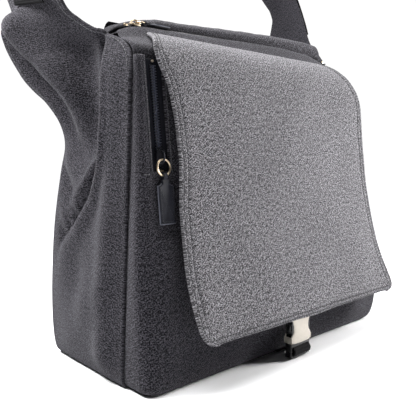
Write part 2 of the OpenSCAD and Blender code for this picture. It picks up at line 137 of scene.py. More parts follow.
def along(p, q, line):
    """Distance from the points (p, q) to a polyline, and how far along it, 0 to 1."""
    line = np.asarray(line, float)
    best = np.full(np.shape(p), 1e9)
    place = np.zeros(np.shape(p))
    for i in range(len(line) - 1):
        a, d = line[i], line[i + 1] - line[i]
        t = np.clip(((p - a[0]) * d[0] + (q - a[1]) * d[1]) / (d @ d), 0, 1)
        r = np.hypot(p - a[0] - t * d[0], q - a[1] - t * d[1])
        nearer = r < best
        place = np.where(nearer, (i + t) / (len(line) - 1), place)
        best = np.where(nearer, r, best)
    return best, place


def crease(p, q, line, width, height, fade=True):
    """A fold that runs along a polyline; a negative height makes a valley."""
    r, t = along(p, q, line)
    strength = bell(t * 0.9 + 0.05) ** 0.6 if fade else 1.0
    return height * np.exp(-(r / width) ** 2) * strength


def lumps(u, v, seed, size, height):
    """Slow, seeded unevenness of cloth."""
    rng = np.random.default_rng(seed)
    out = np.zeros(np.shape(u))
    for _ in range(9):
        kx, ky = rng.normal(0, 2 * math.pi / size, 2)
        out += np.cos(kx * u + ky * v + rng.uniform(0, 2 * math.pi))
    return height * out / 3.0


# ---------------------------------------------------------------- materials

def new_material(name, base, rough=0.6, metallic=0.0, **sockets):
    mat = bpy.data.materials.new(name)
    mat.use_nodes = True
    shader = mat.node_tree.nodes["Principled BSDF"]
    shader.inputs["Base Color"].default_value = (*base, 1)
    shader.inputs["Roughness"].default_value = rough
    shader.inputs["Metallic"].default_value = metallic
    for key, value in sockets.items():
        shader.inputs[key.replace("_", " ")].default_value = value
    mat.diffuse_color = (*base, 1)
    return mat, mat.node_tree, shader


def add(tree, kind, **values):
    """A node with its properties and constant inputs set."""
    node = tree.nodes.new(kind)
    for key, value in values.items():
        if hasattr(node, key):
            setattr(node, key, value)
        else:
            node.inputs[key].default_value = value
    return node


def ramp(tree, source, stops):
    """Colour from a value; the stops are (place, colour) pairs in order."""
    node = tree.nodes.new("ShaderNodeValToRGB")
    tree.links.new(source, node.inputs["Fac"])
    first, last = node.color_ramp.elements
    for element, (place, colour) in zip((first, last), (stops[0], stops[-1])):
        element.position = place
        element.color = (*colour, 1)
    for place, colour in stops[1:-1]:
        element = node.color_ramp.elements.new(place)
        element.color = (*colour, 1)
    return node.outputs["Color"]


def mix(tree, a, b, factor, mode):
    """Two colours mixed; each input is a number, a colour or a socket."""
    node = tree.nodes.new("ShaderNodeMix")
    node.data_type = "RGBA"
    node.blend_type = mode
    for value, socket in ((factor, node.inputs[0]), (a, node.inputs[6]), (b, node.inputs[7])):
        if isinstance(value, (int, float)):
            socket.default_value = value
        elif isinstance(value, tuple):
            socket.default_value = (*value, 1)
        else:
            tree.links.new(value, socket)
    return node.outputs[2]


def sums(tree, *terms):
    """Weighted sum of value sockets: (socket, weight), ..."""
    total = None
    for socket, weight in terms:
        node = add(tree, "ShaderNodeMath", operation="MULTIPLY_ADD")
        tree.links.new(socket, node.inputs[0])
        node.inputs[1].default_value = weight
        if total is None:
            node.inputs[2].default_value = 0.0
        else:
            tree.links.new(total, node.inputs[2])
        total = node.outputs[0]
    return total


def noise(tree, coords, scale, detail=2.0, rough=0.6):
    """Cloudy noise, scale per metre."""
    node = add(tree, "ShaderNodeTexNoise", Scale=scale, Detail=detail, Roughness=rough)
    tree.links.new(coords, node.inputs["Vector"])
    return node.outputs["Fac"]


def wave(tree, coords, scale, distortion=0.0, angle=0.0):
    """Parallel ribs, scale per metre, turned by angle in the cloth's own plane."""
    turn = add(tree, "ShaderNodeMapping")
    turn.inputs["Rotation"].default_value = (0, 0, angle)
    tree.links.new(coords, turn.inputs["Vector"])
    node = add(tree, "ShaderNodeTexWave", bands_direction="X", wave_profile="SIN",
               Scale=scale * WAVE_UNIT, Distortion=distortion, Detail=1.0)
    node.inputs["Detail Scale"].default_value = 3.0
    tree.links.new(turn.outputs[0], node.inputs["Vector"])
    return node.outputs["Fac"]


def bump(tree, shader, height, strength, distance):
    """Fine relief in the material alone; distance in metres."""
    node = add(tree, "ShaderNodeBump", Strength=strength, Distance=distance)
    tree.links.new(height, node.inputs["Height"])
    tree.links.new(node.outputs[0], shader.inputs["Normal"])


def drive(tree, shader, key, source, stops):
    """Drives one of the shader's inputs by a ramp over a value."""
    tree.links.new(ramp(tree, source, stops), shader.inputs[key])


def cloth_coords(tree):
    """Cloth coordinates in metres, stored as the mesh's UV map."""
    return add(tree, "ShaderNodeTexCoord").outputs["UV"]


def object_coords(tree):
    return add(tree, "ShaderNodeTexCoord").outputs["Object"]


def grey(value):
    return (value,) * 3


def scaled(colour, factor, plus=0.0):
    return tuple(c * factor + plus for c in colour)


def wool(name, dark, light, twill, lean=50.0):
    """Heathered wool twill: mixed light and dark fibres over a fine diagonal weave."""
    mat, tree, shader = new_material(name, light, 0.92, Sheen_Weight=0.10, Sheen_Roughness=0.5,
                                     Specular_IOR_Level=0.10)
    shader.inputs["Sheen Tint"].default_value = (0.85, 0.85, 0.9, 1)
    uv = cloth_coords(tree)
    fibre = noise(tree, uv, 1500.0, 2.0, 0.8)
    speck = noise(tree, uv, 980.0, 1.5, 0.7)
    mottle = noise(tree, uv, 330.0, 2.0, 0.55)
    drift = noise(tree, uv, 11.0, 3.0, 0.5)
    ribs = wave(tree, uv, 430.0, 1.8, math.radians(lean))
    marl = sums(tree, (fibre, 0.24), (speck, 0.58), (mottle, 0.18))
    colour = ramp(tree, marl, [(0.45, dark), (0.485, scaled(light, 0.18)), (0.52, scaled(light, 0.50)),
                               (0.555, light)])
    shade = ramp(tree, ribs, [(0.15, grey(1 - twill)), (0.75, grey(1.0))])
    colour = mix(tree, colour, shade, 1.0, "MULTIPLY")
    tone = ramp(tree, drift, [(0.3, grey(0.90)), (0.7, grey(1.06))])
    colour = mix(tree, colour, tone, 1.0, "MULTIPLY")
    tree.links.new(colour, shader.inputs["Base Color"])
    height = sums(tree, (ribs, 0.5), (fibre, 0.7), (speck, 0.5))
    bump(tree, shader, height, 0.55, 0.0007)
    return mat


def woven(name, base, rib=900.0, angle=0.0, rough=0.75, sheen=0.15, strength=0.5, cross=0.0):
    """Tightly woven synthetic cloth with ribs, for tapes, webbing and linings."""
    mat, tree, shader = new_material(name, base, rough, Sheen_Weight=sheen, Sheen_Roughness=0.5,
                                     Specular_IOR_Level=0.15)
    uv = cloth_coords(tree)
    ribs = wave(tree, uv, rib, 0.3, angle)
    picks = wave(tree, uv, rib * 0.8, 0.4, angle + math.pi / 2)
    grain = noise(tree, uv, 420.0, 2.0, 0.6)
    drive(tree, shader, "Base Color", sums(tree, (ribs, 0.45), (picks, 0.25 + cross), (grain, 0.3)),
          [(0.25, scaled(base, 0.55)), (0.5, base), (0.8, scaled(base, 1.8, 0.001))])
    bump(tree, shader, sums(tree, (ribs, 0.8), (picks, 0.3 + cross), (grain, 0.2)), strength, 0.0004)
    return mat


def metal(name, base, rough, brushed=0.0, wear=0.08):
    """Plated or brushed metal, with faint scratches and handling marks."""
    mat, tree, shader = new_material(name, base, rough, 1.0)
    where = object_coords(tree)
    marks = noise(tree, where, 260.0, 4.0, 0.65)
    stretch = add(tree, "ShaderNodeMapping")
    stretch.inputs["Scale"].default_value = (1.0, 1.0, 18.0)
    tree.links.new(where, stretch.inputs["Vector"])
    hair = noise(tree, stretch.outputs[0], 260.0, 3.0, 0.7)
    drive(tree, shader, "Base Color", marks, [(0.35, scaled(base, 1 - wear)), (0.65, base)])
    drive(tree, shader, "Roughness", sums(tree, (marks, 0.4), (hair, 0.6)),
          [(0.3, grey(rough - 0.08)), (0.7, grey(rough + 0.12))])
    bump(tree, shader, sums(tree, (hair, brushed), (marks, 0.15)), 0.35, 0.00008)
    return mat


def plastic(name, base, rough, grain=0.3):
    """Moulded plastic with a faint texture and dust."""
    mat, tree, shader = new_material(name, base, rough, Specular_IOR_Level=0.5)
    where = object_coords(tree)
    fine = noise(tree, where, 1500.0, 2.0, 0.6)
    marks = noise(tree, where, 90.0, 3.0, 0.6)
    drive(tree, shader, "Base Color", marks, [(0.3, base), (0.75, scaled(base, 1.35, 0.004))])
    drive(tree, shader, "Roughness", marks, [(0.3, grey(rough)), (0.8, grey(rough + 0.15))])
    bump(tree, shader, fine, grain, 0.00005)
    return mat


def leather(name, base, rough):
    """Finished leather: pebbled grain, creases and a slight polish on the high spots."""
    mat, tree, shader = new_material(name, base, rough, Specular_IOR_Level=0.22)
    where = object_coords(tree)
    cells = add(tree, "ShaderNodeTexVoronoi", Scale=1400.0)
    cells.feature = "DISTANCE_TO_EDGE"
    tree.links.new(where, cells.inputs["Vector"])
    wrinkles = noise(tree, where, 380.0, 4.0, 0.65)
    drive(tree, shader, "Base Color", wrinkles, [(0.3, scaled(base, 0.7)), (0.7, scaled(base, 1.5, 0.01))])
    drive(tree, shader, "Roughness", wrinkles, [(0.3, grey(rough - 0.08)), (0.7, grey(rough + 0.15))])
    bump(tree, shader, sums(tree, (cells.outputs["Distance"], 0.9), (wrinkles, 0.4)), 0.5, 0.00025)
    return mat


def foam(name, base):
    """Open-cell foam."""
    mat, tree, shader = new_material(name, base, 0.95)
    where = object_coords(tree)
    cells = add(tree, "ShaderNodeTexVoronoi", Scale=900.0)
    tree.links.new(where, cells.inputs["Vector"])
    drive(tree, shader, "Base Color", cells.outputs["Distance"], [(0.0, scaled(base, 0.4)), (0.6, base)])
    bump(tree, shader, cells.outputs["Distance"], 0.6, 0.0006)
    return mat


# One wool in three brightnesses: wool_shell is darkened as painted shade over the body, and wool_rim_lit and
# wool_flap are lightened copies of it, painted light on the rim and the flap.
WOOL_SHADED = wool("wool_shell", (0.0018, 0.0016, 0.0026), (0.084, 0.080, 0.095), 0.34)
WOOL_RIM_LIT = wool("wool_rim_lit", (0.0026, 0.0024, 0.0034), (0.125, 0.120, 0.138), 0.34)
WOOL_FLAP_LIT = wool("wool_flap", (0.0060, 0.0058, 0.0070), (0.350, 0.341, 0.364), 0.26, -50.0)
PLY = (2600.0, math.radians(35))     # twisted plies of the sewing thread: per metre, and their slant
THREAD = woven("thread", (0.030, 0.030, 0.034), *PLY, 0.6, 0.2, 0.4)
THREAD_MID = woven("thread_mid", (0.075, 0.075, 0.082), *PLY, 0.6, 0.1, 0.4)
THREAD_LIGHT = woven("thread_light", (0.19, 0.19, 0.20), *PLY, 0.6, 0.2, 0.4)
LINING = woven("lining_cloth", (0.020, 0.020, 0.025), 1500.0, math.radians(45), 0.7, 0.1, 0.25)
TAPE = woven("zip_tape", (0.0036, 0.0040, 0.0075), 1100.0, 0.0, 0.8, 0.03, 0.5)
WEBBING = woven("webbing", (0.0026, 0.0026, 0.0032), 520.0, 0.0, 0.85, 0.0, 0.9, 0.3)
COIL = plastic("zip_coil", (0.0035, 0.0042, 0.0085), 0.35)
# The meshed heads are a lightened copy of the coil's plastic: painted highlight.
ZIP_HEADS_LIT = plastic("zip_teeth_lit", (0.024, 0.028, 0.048), 0.25)
BRASS = metal("brass", (0.60, 0.49, 0.35), 0.30)
BLACK_METAL = metal("slider_black", (0.045, 0.046, 0.055), 0.30)
HARDWARE = metal("strap_hardware", (0.035, 0.035, 0.040), 0.34)
PLATE = metal("plate_metal", (0.50, 0.465, 0.415), 0.52, 0.8)
BUCKLE_PLASTIC = plastic("buckle_plastic", (0.006, 0.006, 0.007), 0.22)
LEATHER = leather("pull_leather", (0.0050, 0.0055, 0.0105), 0.5)
# Edge paint on the leather's cut edges, made far lighter than the leather: partly the paint's own colour,
# partly a painted highlight along the edge.
EDGE_PAINT_AND_HIGHLIGHT = plastic("edge_paint_and_highlight", (0.085, 0.09, 0.115), 0.4)
FOAM = foam("foam", (0.05, 0.05, 0.055))
BOARD = plastic("base_board", (0.012, 0.012, 0.012), 0.7, 0.6)

# ---------------------------------------------------------------- mesh building

def make(name, verts, faces, material, body, replaces=(), uv=None, more=()):
    """A mesh piece, given in mm, that rides on a body and stands for CAD nodes."""
    mesh = bpy.data.meshes.new(name)
    mesh.from_pydata((np.asarray(verts, float) * MM).tolist(), [], [tuple(map(int, f)) for f in faces])
    mesh.validate()
    for m in (material, *more):
        mesh.materials.append(m)
    if uv is not None:
        layer = mesh.uv_layers.new(name="cloth")
        loops = np.empty(len(mesh.loops), int)
        mesh.loops.foreach_get("vertex_index", loops)
        layer.data.foreach_set("uv", (np.asarray(uv, float) * MM)[loops].ravel())
    mesh.polygons.foreach_set("use_smooth", [True] * len(mesh.polygons))
    piece = bpy.data.objects.new(name, mesh)
    bpy.context.collection.objects.link(piece)
    if body:
        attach(piece, body)
    for node in replaces:
        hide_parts(node)
    return piece


def surface_normals(grid):
    """Unit normals of a grid of points."""
    du = np.gradient(grid, axis=1)
    dv = np.gradient(grid, axis=0)
    n = np.cross(du, dv)
    return n / np.maximum(np.linalg.norm(n, axis=2, keepdims=True), 1e-9)


def cloth_uv(grid):
    """Cloth coordinates of a grid in mm, by arc length across and along."""
    across = np.r_[0, np.cumsum(np.linalg.norm(np.diff(grid, axis=1), axis=2).mean(0))]
    down = np.r_[0, np.cumsum(np.linalg.norm(np.diff(grid, axis=0), axis=2).mean(1))]
    return np.stack(np.meshgrid(across, down), 2)


def thick_parts(grid, t, flip=False, mask=None):
    """Vertices, faces and UVs of a sheet of cloth of thickness t behind a grid of outer points."""
    rows, cols = grid.shape[:2]
    n = surface_normals(grid) * (-1 if flip else 1)
    keep = np.ones((rows - 1, cols - 1), bool) if mask is None else mask
    index = np.arange(rows * cols).reshape(rows, cols)
    outer = grid.reshape(-1, 3)
    inner = (grid - n * t).reshape(-1, 3)
    uv = cloth_uv(grid).reshape(-1, 2)
    count = rows * cols
    faces, edges = [], {}
    for i, j in zip(*np.nonzero(keep)):
        quad = [index[i, j], index[i, j + 1], index[i + 1, j + 1], index[i + 1, j]]
        if flip:
            quad.reverse()
        faces.append(quad)
        faces.append([q + count for q in reversed(quad)])
        for a, b in zip(quad, quad[1:] + quad[:1]):
            if (b, a) in edges:
                del edges[b, a]
            else:
                edges[a, b] = (i, j)
    centres = (grid[:-1, :-1] + grid[1:, :-1] + grid[:-1, 1:] + grid[1:, 1:]) / 4
    push = {}
    for (a, b), (i, j) in edges.items():
        edge_mid = (outer[a] + outer[b]) / 2
        d = edge_mid - centres[i, j]
        d = d / max(np.linalg.norm(d), 1e-9)
        for v in (a, b):
            push[v] = push.get(v, 0) + d
    rim = {v: 2 * count + k for k, v in enumerate(push)}
    mids = [(outer[v] + inner[v]) / 2 + d / max(np.linalg.norm(d), 1e-9) * t * 0.38 for v, d in push.items()]
    for a, b in edges:
        faces.append([b, a, rim[a], rim[b]])
        faces.append([rim[b], rim[a], a + count, b + count])
    verts = np.concatenate([outer, inner, np.array(mids).reshape(-1, 3)])
    all_uv = np.concatenate([uv, uv, uv[list(push)]]) if push else np.concatenate([uv, uv])
    used = np.zeros(len(verts), bool)
    used[np.unique(np.concatenate([np.ravel(f) for f in faces]))] = True
    new = np.cumsum(used) - 1
    return verts[used], [[new[v] for v in f] for f in faces], all_uv[used]


def cloth(name, grid, t, material, body, replaces=(), slot=None, flip=False, mask=None):
    """A sheet of cloth t mm thick, whose outer face is the grid."""
    verts, faces, uvs = thick_parts(grid, t, flip, mask)
    return make(name, verts, faces, material, body, replaces, uvs)


def body_wool(name, grid, t, nodes=(), **how):
    # The body's cloth is in the darkened copy of the wool: painted shade.
    return cloth(name, grid, t, WOOL_SHADED, "bag", nodes, "wool_shell", **how)


def body_lining(name, grid, t, nodes=(), **how):
    return cloth(name, grid, t, LINING, "bag", nodes, "lining_cloth", **how)


def tape(name, grid, body, nodes, flip=True):
    cloth(name, grid, 0.8, TAPE, body, nodes, "zip_tape", flip=flip)


class Parts:
    """Gathers several closed shapes into one mesh."""

    def __init__(self):
        self.verts, self.faces, self.uvs, self.slots = [], [], [], []

    def add(self, verts, faces, uvs=None, slot=0):
        base = len(self.verts)
        self.verts.extend(np.asarray(verts, float).tolist())
        self.faces.extend([[v + base for v in f] for f in faces])
        uvs = np.asarray(verts, float)[:, [0, 2]] if uvs is None else uvs
        self.uvs.extend(np.asarray(uvs, float).tolist())
        self.slots.extend([slot] * len(faces))

    def block(self, a, b, depth, radius, bevel, place=None):
        """A block with rounded corners and edges, between the pairs a, b and depth."""
        self.add(*rounded_slab(box_outline(*a, *b, radius), *depth, bevel, place))

    def build(self, name, material, body, replaces=(), more=()):
        piece = make(name, self.verts, self.faces, material, body, replaces, self.uvs, more)
        if more:
            piece.data.polygons.foreach_set("material_index", self.slots)
        return piece


def tube(path, radius, sides=8, squash=1.0, closed=False, up=(0, 0, 1)):
    """A round rod, thread or piping along a path."""
    p = np.asarray(path, float)
    count = len(p)
    if closed:
        t = np.roll(p, -1, 0) - np.roll(p, 1, 0)
    else:
        t = np.gradient(p, axis=0)
    t /= np.maximum(np.linalg.norm(t, axis=1, keepdims=True), 1e-9)
    side = np.cross(t, np.asarray(up, float))
    weak = np.linalg.norm(side, axis=1) < 1e-3
    side[weak] = np.cross(t[weak], (0, 1, 0.2))
    side /= np.maximum(np.linalg.norm(side, axis=1, keepdims=True), 1e-9)
    other = np.cross(side, t)
    r = np.broadcast_to(np.asarray(radius, float), (count,))
    verts, uvs = [], []
    length = arc(p)
    for k in range(count):
        for s in range(sides):
            a = 2 * math.pi * s / sides
            verts.append(p[k] + side[k] * math.cos(a) * r[k] + other[k] * math.sin(a) * r[k] * squash)
            uvs.append((s / sides * 2 * math.pi * r[k], length[k]))
    faces = []
    for k in range(count if closed else count - 1):
        k2 = (k + 1) % count
        for s in range(sides):
            s2 = (s + 1) % sides
            faces.append([k * sides + s, k * sides + s2, k2 * sides + s2, k2 * sides + s])
    if not closed:
        faces.append(list(range(sides))[::-1])
        faces.append([(count - 1) * sides + s for s in range(sides)])
    return verts, faces, uvs


def stitches(parts, path, normals, pitch=3.4, length=2.5, radius=0.42, lift=0.15, slot=0):
    """A row of stitches: each dives into the cloth at both ends."""
    p = np.asarray(path, float)
    n = np.asarray(normals, float)
    d = arc(p)
    at = lambda s, values: np.array([np.interp(s, d, values[:, k]) for k in range(3)])
    start = pitch / 2
    while start + length < d[-1]:
        points = []
        for f, rise in ((0.0, -0.55), (0.18, 0.15), (0.5, 0.45), (0.82, 0.15), (1.0, -0.55)):
            s = start + f * length
            points.append(at(s, p) + at(s, n) * (lift + rise * radius))
        parts.add(*tube(points, radius, 6), slot=slot)
        start += pitch


def rounded_slab(outline, depth0, depth1, bevel, place=None):
    """An outline in (a, b) extruded in depth with a rounded edge, then put in place by a function."""
    o = np.asarray(outline, float)
    n = len(o)
    t = np.roll(o, -1, 0) - np.roll(o, 1, 0)
    t /= np.maximum(np.linalg.norm(t, axis=1, keepdims=True), 1e-9)
    inward = np.stack([-t[:, 1], t[:, 0]], 1)
    rings = []
    for end, sign in ((depth0, 1), (depth1, -1)):
        steps = [(1.0, 0.0), (0.5, 0.13), (0.29, 0.29), (0.13, 0.5), (0.0, 1.0)]
        if sign < 0:
            steps = steps[::-1]
        for shrink, rise in steps:
            flat = o + inward * shrink * bevel
            rings.append(np.c_[flat, np.full(n, end + sign * rise * bevel)])
    verts = np.concatenate(rings)
    faces = [list(range(n))[::-1]]
    for k in range(len(rings) - 1):
        for i in range(n):
            j = (i + 1) % n
            faces.append([k * n + i, k * n + j, (k + 1) * n + j, (k + 1) * n + i])
    faces.append([(len(rings) - 1) * n + i for i in range(n)])
    if place is not None:
        verts = np.array([place(*v) for v in verts])
    return verts, faces


def box_outline(a0, a1, b0, b1, r, steps=4):
    """Counter-clockwise rectangle with rounded corners."""
    out = []
    for ca, cb, start in ((a1 - r, b0 + r, -90), (a1 - r, b1 - r, 0), (a0 + r, b1 - r, 90),
                          (a0 + r, b0 + r, 180)):
        for k in range(steps + 1):
            angle = math.radians(start + 90 * k / steps)
            out.append((ca + r * math.cos(angle), cb + r * math.sin(angle)))
    return out

# ---------------------------------------------------------------- strap stations, as in the CAD model

STRAP_LINE = smooth([(173.6, 27, 206, 46), (174, 37, 250, 47), (178, 53, 296, 45), (184, 70, 340, 43),
                     (187, 87, 385, 41), (182, 102, 425, 40), (160, 113, 456, 38), (122, 123, 480, 36),
                     (88, 130, 490, 34), (66, 130, 490, 34), (0, 130, 490, 34)], 3)
TOP = len(STRAP_LINE) - 1
WING_LAST = 19
RING_AT = 2 * TOP - 20
BAR_R, BAR_S = 2.0, 9.0
FOLD_R = BAR_R + 0.35
WEB_A, WEB_B = 2.05, 4.05
RING_DEPTH = WEB_A - FOLD_R
TAIL_B = RING_DEPTH - FOLD_R
TAIL_A = TAIL_B - 2.0


def flare(z):
    """How far the left half of the strap stands further out than the right one."""
    return 14.0 * math.exp(-((z - 345) / 48) ** 2) if z > 210 else 0.0


def station_point(k):
    """Middle of the strap at station k, counted from the left wing over the top to the right one."""
    x, y, z, _ = STRAP_LINE[min(k, 2 * TOP - k)]
    return np.array([-x - flare(z) if k <= TOP else x, y, z])


def strap_frame(k):
    """Middle, direction, breadth and outward vectors of the strap at a whole or part station."""
    low = int(math.floor(k))
    f = k - low

    def whole(i):
        i = max(0, min(2 * TOP, i))
        t = station_point(min(i + 1, 2 * TOP)) - station_point(max(i - 1, 0))
        t /= np.linalg.norm(t)
        m = np.array([0, 1, 0]) - t[1] * t
        m /= np.linalg.norm(m)
        return station_point(i), t, m, np.cross(t, m)
    a, b = whole(low), whole(low + 1)
    out = [p * (1 - f) + q * f for p, q in zip(a, b)]
    return [out[0]] + [v / np.linalg.norm(v) for v in out[1:]]


def strap_width(k):
    """Half the width of the wool wing at station k."""
    i = min(max(k, 0), 2 * TOP - max(k, 0))
    return float(np.interp(i, np.arange(TOP + 1), STRAP_LINE[:, 3]))


# ---------------------------------------------------------------- body of the bag

def side_rows(side):
    """Front and back edges of a side's cloth, from the floor up into the strap."""
    left = side < 0
    front = [(172, -38, 1.6), (176.5, -40.4, 3.4), (178.6, -41, 9), (178.2, -41, 30), (176, -41, 75),
             (173, -41, 130), (170.5, -41, 185), (168.4, -41, 225), (166.8, -41, 256), (164.8, -40.4, 272),
             (162.5, -35, 285), (161.5, -22, 295.5), (164.5, -6, 303), (172, 7, 309), (180, 19, 318),
             (188, 28, 330)]
    back = [(170, 68, 1.6), (175, 74, 3.4), (178.4, 78.5, 10), (180, 80, 36), (179.5, 80, 75),
            (175.5, 79.5, 130), (167.5, 79, 180), (162.5, 78, 208), (165.5, 82, 230), (174, 92, 250),
            (181, 104, 262), (187, 113, 273), (192, 119, 285), (197, 123, 297), (202, 125, 310),
            (205, 124, 322)]
    if not left:
        front[7:13] = [(168.2, -41, 225), (160.5, -41, 254), (152.5, -40, 271), (145, -37, 284),
                       (142, -24, 296), (148, -8, 303)]
        front[-3:] = [(163, 5, 309), (173, 16, 321), (179, 29, 333), (181, 42, 347), (182, 51, 366),
                      (182, 58, 387), (180, 65, 405), (177, 71, 420)]
        back[7:] = [(166, 79, 212), (168, 82, 230), (172, 89, 246), (176, 97, 260), (179, 104, 274),
                    (181, 110, 288), (182, 115, 302), (183, 119, 316), (184, 121, 332), (185, 120, 350),
                    (185, 116, 369), (183, 110, 389), (181, 113, 402), (179, 119, 412)]
    front = [(side * x, y, z) for x, y, z in front]
    back = [(side * x, y, z) for x, y, z in back]
    for k in (9.5, 11, 12.5, 14, 15.5, 17, 18.2, 19)[0 if left else 5:]:
        c, _, m, _ = strap_frame(k if left else 2 * TOP - k)
        w = min(strap_width(k), float(np.interp(k, [14, 16, 17.2, 19], [43, 36, 30, 27.5])))
        front.append(tuple(c - m * w))
        back.append(tuple(c + m * w))
    return smooth(front, 6), smooth(back, 6)


# Folds: the points along each, its half width and its height in mm. A valley has a negative height.
MAIN_VALLEY = [(2, 306), (1, 276), (-1, 240), (-1, 220), (1, 202), (12, 174), (35, 145), (67, 116)]
SIDE_FOLDS = (
    ([(-7, 300), (-8, 270), (-10, 235), (-10, 212), (-6, 190), (5, 161), (29, 129), (58, 105)], 5.5, 7.5),
    ([(12, 192), (27, 170), (48, 150)], 5.0, 4.6),
    ([(76, 186), (63, 172), (50, 158)], 4.2, -8.0),
    ([(82, 164), (64, 148), (52, 138)], 4.8, 5.5),
    ([(74, 204), (58, 186), (38, 180)], 6.0, 5.0),
    ([(70, 236), (56, 214), (40, 196)], 7.0, -4.0),
    ([(-30, 92), (-8, 76), (22, 62)], 8.0, 2.4))
POCKET_FOLDS = (
    ([(-120, 20), (-60, 34), (10, 22)], 11, 1.6),
    ([(20, 40), (90, 24), (140, 44)], 10, -1.6),
    ([(-132, 150), (-120, 90), (-128, 40)], 9, -2.0),
    ([(-160, 170), (-152, 110), (-158, 60), (-152, 18)], 8, 2.6))
BACK_FOLDS = (
    ([(-150, 205), (-60, 222), (30, 212), (150, 224)], 9, -2.2),
    ([(-140, 40), (-40, 26), (60, 36), (150, 24)], 10, 1.6))
FLAP_FOLDS = (
    ([(-140, 60), (-60, 84), (20, 66)], 16, 1.3),
    ([(60, 120), (120, 96), (150, 108)], 15, 1.4),
    ([(-130, 150), (-90, 120), (-110, 70)], 14, -1.2))


def folds(p, q, table):
    return sum(crease(p, q, line, width, height) for line, width, height in table)


def side_folds(y, z, s, side):
    """How far a side's cloth stands out, mm, at depth y and height z; s runs from its front to its back."""
    low = ease(0, 26, z)
    grow = 1.0 if side < 0 else 0.75
    out = 8.0 * hump(y, -19, 15) * low * (1 - 0.75 * ease(268, 305, z))
    out += 3.5 * bell((y + 41) / 122) ** 0.8 * low * (1 - ease(120, 190, z))
    out += 2.0 * hump(y, 58, 26) * hump(z, 75, 45)
    out += 3.0 * hump(y, 10, 20) * hump(z, 60, 24) - 3.2 * hump(y, 32, 16) * hump(z, 92, 20)
    out += crease(y, z, MAIN_VALLEY, 3.4, -11.0 * grow, fade=False) * ease(100, 125, z)
    out += folds(y, z, SIDE_FOLDS) * grow - crease(y, z, [(-34, 60), (-6, 48)], 7.0, 2.2)
    out -= 10.0 * hump(y, 24, 20) * ease(186, 214, z) * (1 - ease(285, 318, z)) * grow
    window = bell(s) ** 0.45
    rise = ease(205, 285, z) * (1 - ease(316, 340, z)) * grow
    drift = 0.15 * ease(280, 335, z)
    wing = 13.0 * hump(s, 0.67 + drift, 0.16) - 11.0 * hump(s, 0.845 + drift, 0.06)
    wing += 1.5 * hump(s, 0.97, 0.05)
    fade = 1 - ease(292, 325, z)
    return out * window * fade + wing * rise * bell(s * 0.97 + 0.015) ** 0.3


SIDE_CLOTH = 3.0     # thickness of a side's cloth, mm
FLOOR_GAP = 0.8


def side_cloth(side, name, nodes):
    """One side of the body, drawn on into its wing of the strap."""
    front, back = side_rows(side)
    s = np.linspace(0, 1, 76)
    grid = front[:, None] * (1 - s)[None, :, None] + back[:, None] * s[None, :, None]
    n = surface_normals(grid)
    n *= np.sign(n[:, :, :1].mean() * side)
    out = side_folds(grid[:, :, 1], grid[:, :, 2], s[None, :], side)
    soft = ease(3, 30, grid[:, :, 2]) * np.sin(np.pi * s)[None, :] ** 0.5
    out = out + lumps(grid[:, :, 1], grid[:, :, 2], 11 + side, 75.0, 0.75) * soft
    grid = grid + n * (out[:, :, None] + SIDE_CLOTH)
    grid[..., 2] = np.maximum(grid[..., 2], FLOOR_GAP)
    piece = cloth(name, grid, SIDE_CLOTH, WOOL_SHADED, None, nodes, "wool_shell", flip=side < 0)
    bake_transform(piece)
    return grid


LEFT_GRID = side_cloth(-1, "side_cloth_left", ["left_gusset", "left_wing"])
RIGHT_GRID = side_cloth(1, "side_cloth_right", ["right_gusset", "right_wing"])


def wrap_rows():
    """Heights of the rows of the pocket's cloth."""
    return np.unique(np.r_[1.2, 2, 3, 4.5, 7, 11, np.linspace(16, SLOT_Z[0], 44), np.linspace(*SLOT_Z, 24),
                           MOUTH_Z, POCKET_TOP])


def corner_width(z, side):
    """Half width of the pocket near its lower corners, which are rounded."""
    r = 36.0 if side > 0 else 9.0
    d = np.clip(r - z, 0, r)
    return half_w(z) - (r - np.sqrt(r * r - d * d))


def pocket_columns(z):
    """Plan points of the pocket's cloth at height z, from the left seam round to the right one."""
    r = 5.0 + 8.0 * (1 - z / POCKET_TOP)
    low = 7.0 - math.sqrt(max(0.0, 49.0 - (7.0 - min(z, 7.0)) ** 2))
    y = float(pocket_y(z)) + low
    xl, xr = -float(corner_width(z, -1)), float(corner_width(z, 1))
    r = min(r, max(1.0, SEAM_Y - y - 1.0))
    out = [(xl, yy) for yy in np.linspace(SEAM_Y, y + r, 9)[:-1]]
    out += [(xl + r - r * math.cos(a), y + r - r * math.sin(a)) for a in np.linspace(0, math.pi / 2, 8)]
    slot_left, slot_right = ZIP_X - SLOT_HALF, ZIP_X + SLOT_HALF
    for x0, x1, count in ((xl + r, slot_left, 5), (slot_left, slot_right, 8),
                          (slot_right, slot_right + SLOT_FRAME, 3), (slot_right + SLOT_FRAME, xr - r, 84)):
        out += [(x, y) for x in np.linspace(x0, x1, count)[1:]]
    out.pop()
    out += [(xr - r + r * math.sin(a), y + r - r * math.cos(a)) for a in np.linspace(0, math.pi / 2, 8)]
    out += [(xr, yy) for yy in np.linspace(y + r, SEAM_Y, 9)[1:]]
    return out


def pocket_grid():
    """The pocket's sides and front as one cloth, with the front's folds and its sagging right end."""
    grid = np.array([[(x, y, z) for x, y in pocket_columns(z)] for z in wrap_rows()])
    x, y, z = grid[..., 0], grid[..., 1], grid[..., 2]
    front = ease(-172, -150, x) * (1 - ease(140, 172, x))
    clear = 1 - ease(-165, -158, x) * (1 - ease(-138, -128, x)) * ease(124, 138, z)
    out = 5.0 * bell((x + 182) / 364) ** 0.7 * bell(z / 262)
    out += folds(x, z, POCKET_FOLDS) + lumps(x, z, 5, 85.0, 0.8)
    grid[..., 1] -= out * front * clear * ease(0, 14, z)
    grid[..., 1] += SAG * ease(134, 166, x) * ease(140, 232, z)
    left = 1 - ease(-176, -168, x)
    side_out = 3.4 * bell((z - 6) / 240) * bell((y + 76) / 35)
    grid[..., 0] -= side_out * left
    grid[..., 0] += side_out * ease(168, 176, x) * 0.7
    return grid


